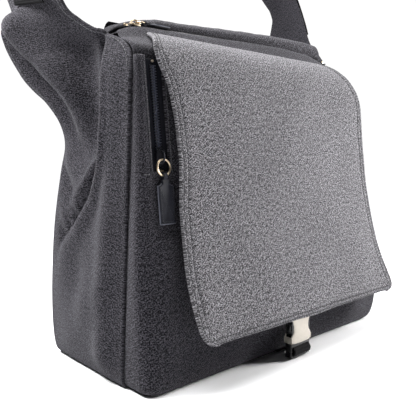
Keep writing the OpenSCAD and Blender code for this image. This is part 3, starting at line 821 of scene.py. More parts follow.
def pocket_mask(grid):
    """Leaves the zip's slot and the space above the mouth open."""
    mid = (grid[:-1, :-1] + grid[1:, 1:]) / 2
    x, z = mid[..., 0], mid[..., 2]
    slot = (abs(x - ZIP_X) < SLOT_HALF) & (z > SLOT_Z[0]) & (mid[..., 1] < -42)
    above = (x > ZIP_X + SLOT_HALF + SLOT_FRAME) & (z > MOUTH_Z)
    return ~(slot | above)


POCKET_GRID = pocket_grid()
body_wool("pocket_cloth", POCKET_GRID, 2.6,
          ["pocket_front_panel", "pocket_left_gusset", "pocket_right_gusset"], mask=pocket_mask(POCKET_GRID))


def cross_grid(profile, count, inset):
    """Rows of points across the body, inset mm in from its edges; the profile is (y, z) pairs."""
    xs = np.linspace(-1, 1, count)
    return np.array([[(x * (half_w(z) - inset), y, z) for x in xs] for y, z in profile])


BACK_LINE = smooth([(BACK_Y - 9, 1.2), (BACK_Y - 3, 3.0), (BACK_Y, 9), (BACK_Y, 60), (BACK_Y, 130),
                    (BACK_Y, 190), (BACK_Y - 5, 226), (BACK_Y - 18, 262), (BACK_Y - 34, 291),
                    (BACK_Y - 49.5, 311.5)], 7)


def back_panel():
    """The back, which leans forward above 200 mm and is drawn in a little at its waist."""
    grid = cross_grid(BACK_LINE, 84, 1.5)
    n = surface_normals(grid)
    n *= np.sign(n[..., 1].mean())
    z = grid[..., 2]
    grid[..., 0] *= 1 - np.where(grid[..., 0] < 0, 0.037, 0.015) * hump(z, 208, 30)
    x = grid[..., 0]
    out = 4.2 * vault(x / 172) ** 0.7 * bell(z / 300) ** 0.7
    out += folds(x, z, BACK_FOLDS) + lumps(x, z, 21, 95.0, 0.9)
    edge = vault(x / 171) ** 0.3 * ease(0, 20, z)
    grid = grid + n * (out * edge)[..., None]
    body_wool("back_cloth", grid, 2.6, ["back_panel"], flip=True)
    return grid


BACK_GRID = back_panel()


def front_and_base():
    """The front behind the pocket, and the base of the body and of the pocket."""
    grid = cross_grid([(SEAM_Y, z) for z in np.linspace(2, 274, 40)], 60, 3.4)
    grid[..., 0] *= np.where(grid[..., 0] > 0, 1 - 0.125 * ease(225, 288, grid[..., 2]), 1.0)
    grid[..., 1] -= lumps(grid[..., 0], grid[..., 2], 31, 90.0, 0.5)
    grid[..., 1] += 2.2 * hump(grid[..., 0], ZIP_X, 11) * ease(225, 250, grid[..., 2])
    body_wool("main_front_cloth", grid, 2.4, ["front_panel"])
    for name, right, y0, y1, node in (("base_cloth", 172, SEAM_Y + 1.0, BACK_Y - 8, "bottom_panel"),
                                      ("pocket_base_cloth", 146, -68.0, SEAM_Y - 0.5, "pocket_bottom")):
        grid = np.array([[(x, y, 0.5) for x in np.linspace(-172, right, 60)]
                         for y in np.linspace(y0, y1, 26)])
        grid[..., 2] += np.abs(lumps(grid[..., 0], grid[..., 1], 41, 80, 0.25))
        body_wool(name, grid, 2.0, [node], flip=True)


front_and_base()


def zip_bow(x):
    """Rise of the top zip between the slider's two stops."""
    return 3.6 * vault(np.asarray(x, float) / 139.0) ** 1.2


def front_lip():
    """Cloth from the front over to the zip; its edge bows up in the middle and falls at both ends."""
    line = smooth([(SEAM_Y, 268), (-40.8, 280), (-36, 289.5), (-26, 296.5), (-17, 302.5), (-10.2, 310.6),
                   (-7.8, 313.4)], 6)
    part = (np.arange(len(line)) / (len(line) - 1))[:, None]
    u = np.linspace(-1, 1, 96)[None, :]
    left = np.interp(line[:, 1], [268, 286, 298, 314], [-163.5, -163, -162, -158])[:, None]
    right = np.interp(line[:, 1], [268, 286, 298, 314], [152, 142, 140, 148])[:, None]
    x = left * (1 - u) / 2 + right * (1 + u) / 2
    y = line[:, :1] + 0 * x
    bow = np.interp(x, [-163, -150, -136, -104, -57, 0, 55, 110, 140, 148],
                    [-9, -3.5, -0.2, 0.8, 2.0, 4.5, 6, 4.2, -2.4, -4.6])
    z = line[:, 1:] + bow * ease(0.35, 1.0, part)
    puff = 1.8 * np.sin(np.pi * part) * np.cos(np.pi / 2 * np.clip(u, -0.99, 0.99)) ** 0.4
    y = y - puff * 0.6 + 2.0 * hump(x, ZIP_X, 11) * (1 - ease(272, 288, line[:, 1:]))
    z = z + puff * 0.8 + lumps(x, part * 40, 51, 60, 0.4) * np.sin(np.pi * part)
    grid = np.stack([x, y, z], 2)
    body_wool("front_lip_cloth", grid, 2.4, ["front_lip"])


front_lip()


def back_roll():
    """The rolled rear lip along the top edge; its ends are pursed shut."""
    profile = smooth([(0.2, 313.6), (6.5, 314.3), (8.4, 316.8), (4.6, 319.6), (4.4, 324.6), (8.4, 329.6),
                      (14.5, 331.0), (21.0, 329.8), (26.0, 325.0), (28.2, 318.0), (27.4, 312.2)], 5)
    xs = np.r_[np.linspace(-162, -153, 9)[:-1], np.linspace(-153, 149, 112), np.linspace(149, 158, 9)[1:]]
    grid = np.array([[(x, y, z) for x in xs] for y, z in profile])
    x, z = grid[..., 0], grid[..., 2]
    pursed = np.sqrt(np.clip(1 - (np.clip(np.abs(x + 2) - 151, 0, 9) / 9) ** 2, 0.03, 1))
    top = np.interp(x, [-162, -152, -133, -118, -104, -39, 24, 83, 121, 150, 158],
                    [307, 315, 321.5, 325, 327.5, 330.8, 335, 337.5, 338, 337, 334])
    base = 313.4 + zip_bow(x) - np.interp(abs(x), [0, 140, 162], [0, 0, 11])
    grid[..., 1] = 14.0 + (grid[..., 1] - 14.0) * pursed
    grid[..., 2] = base + (0.45 + ((z - 313.4) / 17.6 - 0.45) * pursed) * (top - base)
    grid[..., 2] += lumps(x, z, 61, 45, 0.3) * np.clip((z - 313.5) / 17.5, 0, 1)
    # The roll is in the lightened copy of the wool: painted light.
    cloth("back_lip_cloth", grid, 1.8, WOOL_RIM_LIT, "mouth", ["back_lip"], "wool_shell")
    return grid


ROLL_GRID = back_roll()


def mouth_hinge_cloth():
    """Cloth under the rear lip that bends at the mouth's hinge, from the back panel to the lip."""
    line = smooth([(30.2, 306.0), (30.0, 311.0), (29.0, 315.0), (26.2, 318.4), (22.0, 319.6)], 4)
    xs = np.linspace(-148, 146, 100)
    grid = np.array([[(x, y, z + zip_bow(x) * (z - 306.0) / 13.6) for x in xs] for y, z in line])
    piece = cloth("mouth_hinge_cloth", grid, 1.2, WOOL_SHADED, None, (), "wool_shell")
    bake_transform(piece)


mouth_hinge_cloth()


def end_cloth(side, name):
    """Turned-in cloth that closes the end of the mouth under the wing, below the lips."""
    ys = np.linspace(-37, 66, 48)
    tops = np.interp(ys, [-37, -33, -24, -10, 2, 27, 30, 46, 62, 66],
                     [279, 287, 294, 300, 302, 303, 306, 284, 252, 244])
    depth, inner, outer = 24.0, 149.5, 159.5
    grid = np.array([[(side * (inner + (outer - inner) * s ** 0.6), y, top - depth * (1 - s))
                      for y, top in zip(ys, tops)] for s in np.linspace(0, 1, 20)])
    body_wool(name, grid, 2.0, flip=side > 0)


end_cloth(-1, "end_cloth_left")
end_cloth(1, "end_cloth_right")

# ---------------------------------------------------------------- flap

FLAP_LINE = even(smooth([(-17.5, 307.2), (-26.5, 303.6), (-37.0, 296.6), (-46, 284.5), (-53.5, 266),
                         (-59.5, 232), (-64.5, 194), (-71.5, 147), (-82.5, 102), (-95.5, 62),
                         (-104.5, FLAP_LOW)], 10), 2.4)
# Heights, and x of the flap's left and right edges at them.
FLAP_LEFT = ([310, 303, 296, 288, 278, 260, 228, 194, 149, 105, 66, 43],
             [-130, -137, -144.5, -149, -146, -139.5, -135.5, -134.5, -139.5, -142.5, -143.5, -142.5])
FLAP_RIGHT = ([310, 300, 292, 285, 262, 239, 192, 127, 79, 43],
              [126, 133, 138, 141, 145, 146.5, 149, 151, 154.5, 156])
FLAP_THICK = 3.2
# Columns of the flap's grid near its side edges, mm in from them.
HEM = np.array([0, 1.2, 2.2, 3.2, 4.3, 5.6, 6.8, 7.6, 8.4, 9.2, 10.2, 12.0])
STITCH_LINES = ((3.2, 0.9, 0.35), (8.4, 1.1, 0.75))     # inset, half width and depth of the sewn grooves, mm


def flap_grid(inset=0.0, offset=0.0, radius=15.0, columns=96):
    """The flap's surface; its lower corners are rounded by a radius, and the sewn lines are pulled in."""
    line = FLAP_LINE
    t = np.gradient(line, axis=0)
    t /= np.linalg.norm(t, axis=1, keepdims=True)
    n = np.c_[-t[:, 1], t[:, 0]]
    line = line + n * offset
    total = np.linalg.norm(np.diff(line, axis=0), axis=1)
    below = np.r_[np.cumsum(total[::-1])[::-1], 0]
    fine = np.interp(np.r_[np.linspace(below[0], radius * 1.15, 92), np.linspace(radius * 1.1, inset, 20)],
                     below[::-1], np.arange(len(line))[::-1])
    rows, edges = [], []
    for k in fine:
        y, z = (np.interp(k, np.arange(len(line)), line[:, c]) for c in (0, 1))
        d = np.interp(k, np.arange(len(line)), below) - inset
        pull = radius - math.sqrt(max(0.0, radius ** 2 - (radius - min(d, radius)) ** 2))
        lo = np.interp(z, FLAP_LEFT[0][::-1], FLAP_LEFT[1][::-1]) + inset + pull
        hi = np.interp(z, FLAP_RIGHT[0][::-1], FLAP_RIGHT[1][::-1]) - inset - pull
        middle = np.linspace(lo + 15, hi - 15, columns - 2 * len(HEM))
        rows.append([(x, y, z) for x in np.r_[lo + HEM, middle, (hi - HEM)[::-1]]])
        edges.append([d, lo, hi])
    grid = np.array(rows)
    x, z = grid[..., 0], grid[..., 2]
    wave_out = 2.6 * bell((x + 140) / 290) * bell((z - 60) / 240)
    wave_out += folds(x, z, FLAP_FOLDS)
    wave_out += 3.0 * hump(x, 152, 16) * hump(z, 50, 26) + 1.6 * hump(x, -143, 12) * hump(z, 50, 22)
    wave_out += 5.0 * hump(x, 138, 34) * hump(z, 258, 34)
    wave_out += lumps(x, z, 71, 90, 0.55)
    grid[..., 1] -= wave_out * ease(306, 285, z)
    arch = hump(x, -149, 13) * hump(z, 292, 13) * ease(307, 300, z)
    grid[..., 1] -= 6.5 * arch
    grid[..., 2] += 1.0 * arch
    below, lo, hi = (column[:, None] for column in np.array(edges).T)
    near = np.minimum(np.minimum(x - lo, hi - x), below)
    sewn = sum(depth * np.exp(-((near - at) / wide) ** 2) for at, wide, depth in STITCH_LINES)
    if inset == 0:
        grid[..., 1] += sewn
    return grid


FLAP_GRID = flap_grid()
# The flap is in the lightened copy of the wool: painted light.
FLAP_PIECE = cloth("flap_cloth", FLAP_GRID, FLAP_THICK, WOOL_FLAP_LIT, "flap", ["flap_outer"], "wool_flap",
                   flip=True)
cloth("flap_lining_cloth", flap_grid(FLAP_THICK, 3.5, 13.0, 70)[3:], 0.7, LINING, "flap", ["flap_lining"],
      "lining_cloth", flip=True)


def edge_path(grid, inset):
    """Points and normals on the flap, inset mm from its left, lower and right edges."""
    both = np.concatenate([grid, surface_normals(grid)], 2)
    rows = len(grid)
    left, right = [], []
    for row in both:
        d = arc(row[:, :3])
        for target, out in ((inset, left), (d[-1] - inset, right)):
            out.append([np.interp(target, d, column) for column in row.T])
    down = np.linalg.norm(np.diff(grid, axis=0), axis=2).mean(1)
    below = np.r_[np.cumsum(down[::-1])[::-1], 0]
    keep = below > inset
    last = np.interp(inset, below[::-1], np.arange(rows)[::-1])
    low = int(last)
    row = both[low] * (1 - (last - low)) + both[min(low + 1, rows - 1)] * (last - low)
    d = arc(row[:, :3])
    inside = (d > inset) & (d < d[-1] - inset)
    path = np.concatenate([np.array(left)[keep], row[inside], np.array(right)[keep][::-1]])
    return path[:, :3], path[:, 3:]


def flap_stitching():
    """Two rows of stitches in the flap's sewn grooves."""
    parts = Parts()
    for inset, _, _ in STITCH_LINES:
        path, n = edge_path(FLAP_GRID, inset)
        n *= -np.sign(n[:, 1].mean())
        stitches(parts, path, n, 3.5, 2.4, 0.45, 0.10)
    parts.build("flap_stitching", THREAD, "flap")


flap_stitching()

# ---------------------------------------------------------------- seams, hems and topstitching on the body

def grid_line(grid, column, inset):
    """Points and normals along the first or the last column of a grid, inset mm in from it."""
    out, normals = [], []
    for row, n in zip(grid, surface_normals(grid)):
        if column:
            row, n = row[::-1], n[::-1]
        d = arc(row)
        out.append([np.interp(inset, d, values) for values in row.T])
        normals.append([np.interp(inset, d, values) for values in n.T])
    return np.array(out), np.array(normals)


HEM_STITCH = 4.2     # mm in from the hem's edge
PIPING_INSET = 4.0


def side_trim():
    """Seam piping at the front and back edges, and the topstitching of the turned hem that runs up into the
    strap.
    """
    for side, grid, name in ((-1, LEFT_GRID, "left"), (1, RIGHT_GRID, "right")):
        for column, top, shift, label in ((0, 270, -0.4, "front_seam"), (-1, 200, -0.6, "back_seam")):
            seam = Parts()
            zs = np.linspace(4, top, 120)
            line = grid[:60, column]
            height = np.maximum.accumulate(line[:, 2])
            edge = np.array([np.interp(zs, height, values) for values in line.T]).T
            wobble = 0.25 * np.sin(zs * 0.9) + 0.2 * np.sin(zs * 0.37 + side)
            edge[:, 0] -= side * (PIPING_INSET + wobble * 0.3)
            edge[:, 1] += shift + 0.3 * wobble
            seam.add(*tube(edge, 1.5, 8))
            seam.build(f"{label}_{name}", WOOL_SHADED, "bag")
        sewn = Parts()
        for column, start in ((0, 268), (-1, 236)):
            path, n = grid_line(grid, column, HEM_STITCH)
            n *= np.sign((n[:, 0] * side).sum())
            high = path[:, 2] > start
            stitches(sewn, path[high], n[high], 3.5, 2.6, 0.40, 0.05)
        piece = sewn.build(f"side_stitching_{name}", THREAD_MID, None)
        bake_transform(piece)


side_trim()


def body_stitching():
    """Topstitching round the pocket's slot, below its mouth, on the back and on the rear lip."""
    parts = Parts()
    out = (0, -1, 0.1)
    zs = np.linspace(SLOT_Z[0] - 1.5, 277, 40)
    rows = [([(x, pocket_y(z) - 0.25, z) for z in zs], 3.4, 2.5)
            for x in (ZIP_X - SLOT_HALF - 1.6, ZIP_X + SLOT_HALF + 1.6)]
    below = SLOT_Z[0] - 1.5
    rows.append(([(x, float(pocket_y(below)) - 0.2 - 0.02 * (x + 169), below)
                  for x in np.linspace(-169, ZIP_X - SLOT_HALF - 2.5, 8)], 3.2, 2.4))
    rows.append(([(x, pocket_y(231) - 0.4 + SAG * ease(134, 166, x), 231.0)
                  for x in np.linspace(-132, 158, 120)], 3.4, 2.5))
    for path, pitch, length in rows:
        stitches(parts, path, [out] * len(path), pitch, length, 0.42, 0.1)
    parts.build("pocket_stitching", THREAD_MID, "bag")
    back_n = surface_normals(BACK_GRID)
    back_n *= np.sign(back_n[..., 1].mean())
    roll_n = surface_normals(ROLL_GRID)
    for name, body, path, n in (("back_stitching", "bag", BACK_GRID[-3], back_n[-3]),
                                ("rim_stitching", "mouth", ROLL_GRID[42, 8:-8], roll_n[42, 8:-8])):
        parts = Parts()
        stitches(parts, path, n, 3.5, 2.5, 0.42, 0.1)
        parts.build(name, THREAD_LIGHT, body)


body_stitching()


def mouth_binding():
    """Ribbed tape turned over the pocket's open edge."""
    xs = np.linspace(-132, 157, 100)
    y = pocket_y(MOUTH_Z) + 1.4 + SAG * ease(134, 166, xs) * 0.97
    profile = [(-1.9, -5.0), (-2.1, -2.0), (-1.6, 0.6), (0.0, 1.5), (1.8, 0.6), (2.4, -2.0), (2.2, -5.0)]
    grid = np.array([[(xx, yy + dy, MOUTH_Z + 0.8 + dz) for xx, yy in zip(xs, y)]
                     for dy, dz in smooth(profile, 3)])
    cloth("mouth_binding_tape", grid, 0.6, TAPE, "bag", ["pocket_mouth_binding"], "zip_tape")


mouth_binding()


# ---------------------------------------------------------------- inside the bag

def cad_look(node, material):
    """Gives a carried-over CAD node its finished material."""
    thing = bpy.data.objects[node]
    thing.data.materials.clear()
    thing.data.materials.append(material)


# Depth and height of the lining's sheets. The back one starts at 188 mm, with the foam below it.
LINING_BACK = [(69.3, 188), (61, 226), (49, 258), (35, 283), (27, 295.5)]
LINING_FRONT = [(-37, 8), (-37, 180), (-37, 280), (-30, 287.5), (-18, 294.5), (-9, 300)]
LINING_HALF = 164.0


def lining_sheet(name, profile, puff, flip, nodes=()):
    """A hanging sheet of lining, a little loose between its seams."""
    grid = cross_grid(even(profile, 7.0), 60, 15.0)
    x, z = grid[..., 0], grid[..., 2]
    loose = puff * vault(x / 172) ** 0.5 * bell(z / 290)
    grid[..., 1] += loose * (0.5 + lumps(x, z, 91, 70, 0.6))
    body_lining(name, grid, 0.8, nodes, flip=flip)


def lining():
    """The lining's back, front, floor and sides."""
    lining_sheet("lining_back", LINING_BACK, -2.0, True, ["main_lining"])
    lining_sheet("lining_front", LINING_FRONT, 1.2, False)
    floor = np.array([[(x, y, 7.2) for x in np.linspace(-LINING_HALF, LINING_HALF, 60)]
                      for y in np.linspace(-36.5, 69, 30)])
    floor[..., 2] += np.abs(lumps(floor[..., 0], floor[..., 1], 93, 70, 0.5))
    body_lining("lining_floor", floor, 0.8)
    for side, name in SIDES:
        grid = np.array([[(side * (half_w(z) - 15.0), y, z)
                          for y in np.linspace(-37, min(69, 69 - max(0, z - 188) * 0.36), 30)]
                         for z in np.linspace(8, 284, 40)])
        grid[..., 0] -= side * (0.4 + lumps(grid[..., 1], grid[..., 2], 95 + side, 60, 0.6))
        body_lining(f"lining_side_{name}", grid, 0.8, flip=side > 0)


def padded_slab(name, box, crown, material, node, channels):
    """A soft slab between two corners: rounded edges, crowned faces and sewn channels."""
    (x0, y0, z0), (x1, y1, z1) = box
    xs, zs = np.linspace(-1, 1, 64), np.linspace(-1, 1, 44)
    u, w = np.meshgrid(xs, zs)
    around = np.minimum(1 - abs(u), 1 - abs(w))
    seam = np.abs(((u + 1) / 2 * channels) % 1 - 0.5) - 0.5
    thick = ease(0, 0.05, around) ** 0.5 * (1 - 0.35 * np.exp(-(seam / 0.03) ** 2))
    x = (x0 + x1) / 2 + u * (x1 - x0) / 2
    z = (z0 + z1) / 2 + w * (z1 - z0) / 2
    mid, half = (y0 + y1) / 2, (y1 - y0) / 2
    verts, faces = [], []
    for sign in (-1, 1):
        y = mid + sign * half * (0.25 + 0.75 * thick) + sign * crown * (1 - u ** 2) * (1 - w ** 2)
        verts.append(np.stack([x, y, z], 2).reshape(-1, 3))
    rows, cols = u.shape
    index = np.arange(rows * cols).reshape(rows, cols)
    n = rows * cols
    for i in range(rows - 1):
        for j in range(cols - 1):
            a, b, c, d = index[i, j], index[i, j + 1], index[i + 1, j + 1], index[i + 1, j]
            faces += [[a, b, c, d], [d + n, c + n, b + n, a + n]]
    rim = list(index[0]) + list(index[1:, -1]) + list(index[-1, -2::-1]) + list(index[-2:0:-1, 0])
    faces += [[b, a, a + n, b + n] for a, b in zip(rim, rim[1:] + rim[:1])]
    verts = np.concatenate(verts)
    return make(name, verts, faces, material, "bag", [node], verts[:, [0, 2]])


def inside():
    """Everything within the body: lining, padding, stiffener and pockets."""
    lining()
    box = [np.array(c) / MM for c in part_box("back_foam")]
    box[1][1] -= 0.6
    box[0][0], box[1][0] = -160.0, 160.0
    foam_pad = padded_slab("back_padding", box, 0.0, FOAM, "back_foam", 7)
    box = [np.array(c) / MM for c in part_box("sleeve_divider")]
    box[0][0], box[1][0] = -159.0, 159.0
    pad = padded_slab("sleeve_pad", box, 0.4, LINING, "sleeve_divider", 9)
    parts = Parts()
    path = np.array([(x, 52, 225.6) for x in np.linspace(-158, 158, 80)])
    parts.add(*tube(path, 2.6, 8, 0.55))
    parts.build("sleeve_pad_binding", TAPE, "bag")
    board = box_outline(-171.5, 171.5, -33, 71, 12)
    verts, faces = rounded_slab(board, 3.4, 5.2, 0.7)
    make("base_stiffener", verts, faces, BOARD, "bag", ["base_board"], verts[:, :2])
    slip_pocket()


def slip_pocket():
    """Two open-topped pockets sewn to the inside of the front panel."""
    xs = np.r_[np.linspace(-109.5, -1.2, 30), np.linspace(1.2, 109.5, 30)]
    zs = np.linspace(60.5, 189.5, 34)
    grid = np.array([[(x, -32.0, z) for x in xs] for z in zs])
    x, z = grid[..., 0], grid[..., 2]
    cell = np.where(x < 0, (x + 109.5) / 108.3, (x - 1.2) / 108.3)
    puff = bell(cell) ** 0.5 * ease(60, 75, z)
    grid[..., 1] = -36.0 + 3.6 * puff + 0.5 * lumps(x, z, 97, 40, 0.5) * puff
    body_lining("slip_pocket_cloth", grid, 0.9, ["inner_slip_pocket"], flip=True)
    parts = Parts()
    rows = [[(x, -35.0, 64) for x in np.linspace(-108, 108, 60)],
            [(0.0, -35.0, z) for z in np.linspace(62, 188, 40)]]
    for row in rows:
        path = np.array(row)
        stitches(parts, path, np.tile((0, 1.0, 0), (len(path), 1)), 3.2, 2.4, 0.25, 0.1)
    top = grid[-1] + np.array([0, 0.2, 0.4])
    parts.add(*tube(top, 1.1, 8, 1.0), slot=1)
    parts.build("slip_pocket_binding", THREAD, "bag", more=[TAPE])


inside()

# ---------------------------------------------------------------- zips

def coil(parts, start, end, side, place):
    """One half of a zip: its teeth are loops of a coil. place(s, across, up) gives a point."""
    pitch, width, height, wire = PITCH, 2.3, 1.9, 0.42
    count = int((end - start) / pitch)
    points = []
    for k in range(count):
        s = start + k * pitch
        points += [(s, 0.5, 0.35), (s + 0.10 * pitch, -0.45, 0.45 + height * 0.25),
                   (s + 0.25 * pitch, -0.6, 0.4 + height * 0.62), (s + 0.42 * pitch, 0.4, height),
                   (s + 0.58 * pitch, width * 0.7, height * 0.95), (s + 0.74 * pitch, width, height * 0.55),
                   (s + 0.88 * pitch, width * 0.7, 0.3)]
    path = [place(s, side * (0.8 + a), u) for s, a, u in points]
    parts.add(*tube(path, wire, 5))


def teeth(parts, start, end, place):
    """The meshed heads of the two coils, alternating along the centre line."""
    for k in range(int((end - start) / PITCH)):
        s = start + k * PITCH
        for side, shift in ((-1, 0.0), (1, 0.5)):
            c = s + shift * PITCH
            path = [place(c, side * a, u)
                    for a, u in ((3.1, 0.7), (2.6, 1.75), (1.2, 2.05), (-0.1, 1.7), (-0.5, 0.9))]
            parts.add(*tube(path, (0.38, 0.42, 0.46, 0.50, 0.42), 6))


def tape_grid(place, s0, s1, a0, a1, rise):
    """Tape with a raised cord near its toothed edge."""
    ss = np.linspace(s0, s1, int((s1 - s0) / 2.5))
    aa = np.linspace(a0, a1, 12)
    return np.array([[place(s, a, rise + 0.25 * math.exp(-((abs(a) - 3.7) / 0.6) ** 2)) for a in aa]
                     for s in ss])


def top_place(s, across, up):
    """s mm to the right along the top zip, across to the back, and up."""
    return np.array([s, ZIP_Y + across, ZIP_TOP + up + float(zip_bow(s))])


def pocket_place(s, across, up):
    """s mm above the slot's lower end, across to the right, and up out of the pocket's face."""
    tilt = math.atan(POCKET_SLOPE)
    y0 = float(pocket_y(SLOT_Z[0])) + 4.2
    return np.array([ZIP_X + across, y0 + s * math.sin(tilt) - up * math.cos(tilt),
                     SLOT_Z[0] + s * math.cos(tilt) + up * math.sin(tilt)])


def zips():
    """Tapes, coils and stops of both zips, and the pocket zip's meshed teeth."""
    for name, body, s0, s1, a0, a1, nodes in (
            ("front", "bag", -150, 150, -3.9, -0.9, ["main_zip_tape_front"]),
            ("back", "mouth", -96, 118, 0.9, 8.6, ["main_zip_tape_back"]),
            ("left_end", "bag", -150, -97, 0.9, 8.6, ["main_zip_ends"]),
            ("right_end", "bag", 119, 150, 0.9, 8.6, ())):
        tape(f"top_tape_{name}", tape_grid(top_place, s0, s1, a0, a1, 0), body, nodes)
    heads = Parts()
    # The heads are in the lightened copy of the coil's plastic: painted highlight.
    teeth(heads, 12.0, 91, lambda s, a, u: pocket_place(s, a * 0.85, u + 0.9))
    heads.build("pocket_teeth", ZIP_HEADS_LIT, "bag")
    for name, body, s0, s1, side, nodes in (("front", "bag", -144, 144, -1, ["main_zip_coil_front"]),
                                            ("back", "mouth", -95, 117, 1, ["main_zip_coil_back"]),
                                            ("ends_left", "bag", -144, -97.5, 1, ()),
                                            ("ends_right", "bag", 119.5, 144, 1, ())):
        parts = Parts()
        coil(parts, s0, s1, side, top_place)
        parts.build(f"top_coil_{name}", COIL, body, nodes)
    for side, name in SIDES:
        grid = tape_grid(pocket_place, -3, 95, *sorted((side * 0.6, side * 11.8)), 0.9)
        tape(f"pocket_tape_{name}", grid, "bag", [f"pocket_zip_tape_{name}"], flip=False)
    for side, name in SIDES:
        parts = Parts()
        coil(parts, 2.5, 90, side, lambda s, a, u: pocket_place(s, a, u + 0.9))
        parts.build(f"pocket_coil_{name}", COIL, "bag", [f"pocket_zip_coil_{name}"])
    parts = Parts()
    for x in (-148.2, 145.8):
        parts.block((x - 1.5, x + 1.5), (-6.3, -4.1), (311.8, 314.3), 0.6, 0.5)
    parts.build("top_stops", BRASS, "bag", ["main_zip_stops"])
    parts = Parts()
    for s, half in ((1.0, 3.3), (93.0, 1.0)):
        parts.block((s - 0.8, s + 0.8), (-half, half), (1.0, 3.0), 0.5, 0.45, pocket_place)
    parts.build("pocket_stops", BRASS, "bag", ["pocket_zip_stops"])


def slider(parts, length, width, place):
    """A zip slider: two waisted plates, the post between them, their side flanges and the pull's bail."""
    def plate(h0, h1):
        o = []
        for k in range(28):
            a = 2 * math.pi * k / 28
            s = math.copysign(abs(math.cos(a)) ** 0.55, math.cos(a)) * length / 2
            w = math.copysign(abs(math.sin(a)) ** 0.6, math.sin(a)) * width / 2
            w *= 1 - 0.22 * ease(0.1, 1, s / (length / 2))
            o.append((s, w))
        parts.add(*rounded_slab(o, h0, h1, 0.45, place))
    plate(2.6, 4.0)
    plate(-2.3, -1.2)
    end = length / 2
    for sign in (-1, 1):
        flange = sign * width / 2
        parts.block((-length * 0.30, length * 0.30), (flange - 0.45, flange + 0.35), (1.9, 3.6), 0.35, 0.3,
                    place)
    parts.block((-end + 0.2, -end + 2.5), (-0.45, 0.45), (-2, 3.4), 0.2, 0.2, place)
    arch = [(-end + 2.6, 3.9), (-end + 2.6, 5.8), (-end + 3.4, 6.9), (-end + 5.2, 7.5),
            (end - 4.0, 7.5), (end - 2.2, 6.9), (end - 1.6, 5.8), (end - 1.6, 3.9)]
    path = even(smooth([(a, 0, u) for a, u in arch], 4), 0.7)
    across = np.array(place(0, 1, 0)) - place(0, 0, 0)
    parts.add(*tube([place(*p) for p in path], 0.7, 8, 1.0, up=tuple(across)))


def leather_pull(name, length, half, t, r, e, place, body, node):
    """A leather pull: a folded neck with an eye of radius r, a stitched blade, and edges in edge paint much
    lighter than the leather, partly a painted highlight.

    It reaches to length, is 2 * half wide and 2 * t thick, and the neck begins a little beyond e.
    """
    neck = half * 0.48
    half_blade = [(e + 1.4, neck), (e + 5.0, neck), (e + 7.2, half * 0.86), (e + 8.6, half),
                  (length - 2.0, half), (length - 0.6, half - 0.6), (length, half - 2.0)]
    o = [(a, -b) for a, b in half_blade] + half_blade[::-1]
    o = even(smooth(o + [o[0]], 4), 0.8)[:-1]
    parts = Parts()
    parts.add(*rounded_slab(o, -t, t, 0.5, place))
    loop = []
    for k in range(25):
        a = math.radians(-160 + 320 * k / 24)
        loop.append((-(r + 0.55) * math.cos(a) + (0.0 if abs(a) < 2.4 else 0.4), (r + 0.55) * math.sin(a)))
    for s in np.linspace(-e * 0.72, e * 0.72, 5):
        parts.add(*tube([place(a, s, u) for a, u in loop], 0.62, 8))
    parts.block((r + 0.4, e + 3.2), (-e * 0.95, e * 0.95), (-t * 0.9, t * 0.9), 0.4, 0.4, place)
    middle = (length + e) / 2
    # The edges, in the lighter edge paint: partly a painted highlight along them.
    painted = [((a - middle) * 1.012 + middle, b * 1.035) for a, b in o if a > e + 4]
    parts.add(*tube([place(a, b, 0.0) for a, b in painted], t * 0.42, 6), slot=1)
    sewn = even([(e + 9, -half + 1.5), (length - 2.2, -half + 1.5), (length - 1.6, -half + 2.1),
                 (length - 1.6, half - 2.1), (length - 2.2, half - 1.5), (e + 9, half - 1.5)], 0.8)
    for face in (-1, 1):
        path = [place(a, b, face * t) for a, b in sewn]
        n = [np.array(place(a, b, face * (t + 1))) - place(a, b, face * t) for a, b in sewn]
        stitches(parts, path, n, 1.9, 1.35, 0.17, 0.05, slot=2)
    parts.build(name, LEATHER, body, [node], more=[EDGE_PAINT_AND_HIGHLIGHT, THREAD])


def pulls():
    """Both sliders with their rings and leather pulls."""
    parts = Parts()
    slider(parts, 12, 8, lambda s, a, u: (-137 + s, ZIP_Y + a, ZIP_TOP + u))
    parts.build("top_slider", BRASS, "main_slider", ["main_zip_slider"])
    parts = Parts()
    middle = (192 - SLOT_Z[0]) / math.cos(math.atan(POCKET_SLOPE)) + 5.0
    slider(parts, 13, 9, lambda s, a, u: pocket_place(middle - s, a, u + 1.0))
    parts.build("pocket_slider_body", BLACK_METAL, "pocket_slider", ["pocket_zip_slider"])
    cad_look("main_pull_ring", BRASS)
    cad_look("pocket_pull_ring", BRASS)
    leather_pull("top_pull", 28, 3.6, 1.2, 1.2, 1.5,
                 lambda s, a, u: (-126.8 + s, ZIP_Y + a, 317.6 + u), "main_tab", "main_pull_tab")
    eye = middle - 16.4
    leather_pull("pocket_pull", 40, 7.5, 1.5, 1.4, 2.0,
                 lambda s, a, u: pocket_place(eye - s, a, u + 7.0), "pocket_tab", "pocket_pull_tab")


zips()
pulls()

# ---------------------------------------------------------------- buckle

def buckle_place(x, z, y):
    """x and z in the buckle's face, y out towards the front."""
    return (BUCKLE[0] + x, BUCKLE[1] - y, z)


def cover_outline():
    """The metal cover seen from the front: waisted by the round windows at its sides."""
    r_window, half = 11.0, COVER_HALF
    low, high = COVER_Z
    reach = half + r_window - 4
    right = []
    rise = math.sqrt(r_window ** 2 - (reach - half) ** 2)
    for k in range(-10, 11):
        dz = rise * k / 10
        right.append((reach - math.sqrt(r_window ** 2 - dz ** 2), 31 + dz))
    corner = 2.2
    side = [(half - corner, low)]
    side += [(half - corner + corner * math.sin(a), low + corner - corner * math.cos(a))
             for a in np.linspace(0.2, math.pi / 2, 5)]
    side += right
    side += [(half - corner + corner * math.cos(a), high - corner + corner * math.sin(a))
             for a in np.linspace(0, math.pi / 2 - 0.2, 5)]
    side += [(half - corner, high)]
    return side + [(-x, z) for x, z in side[::-1]]


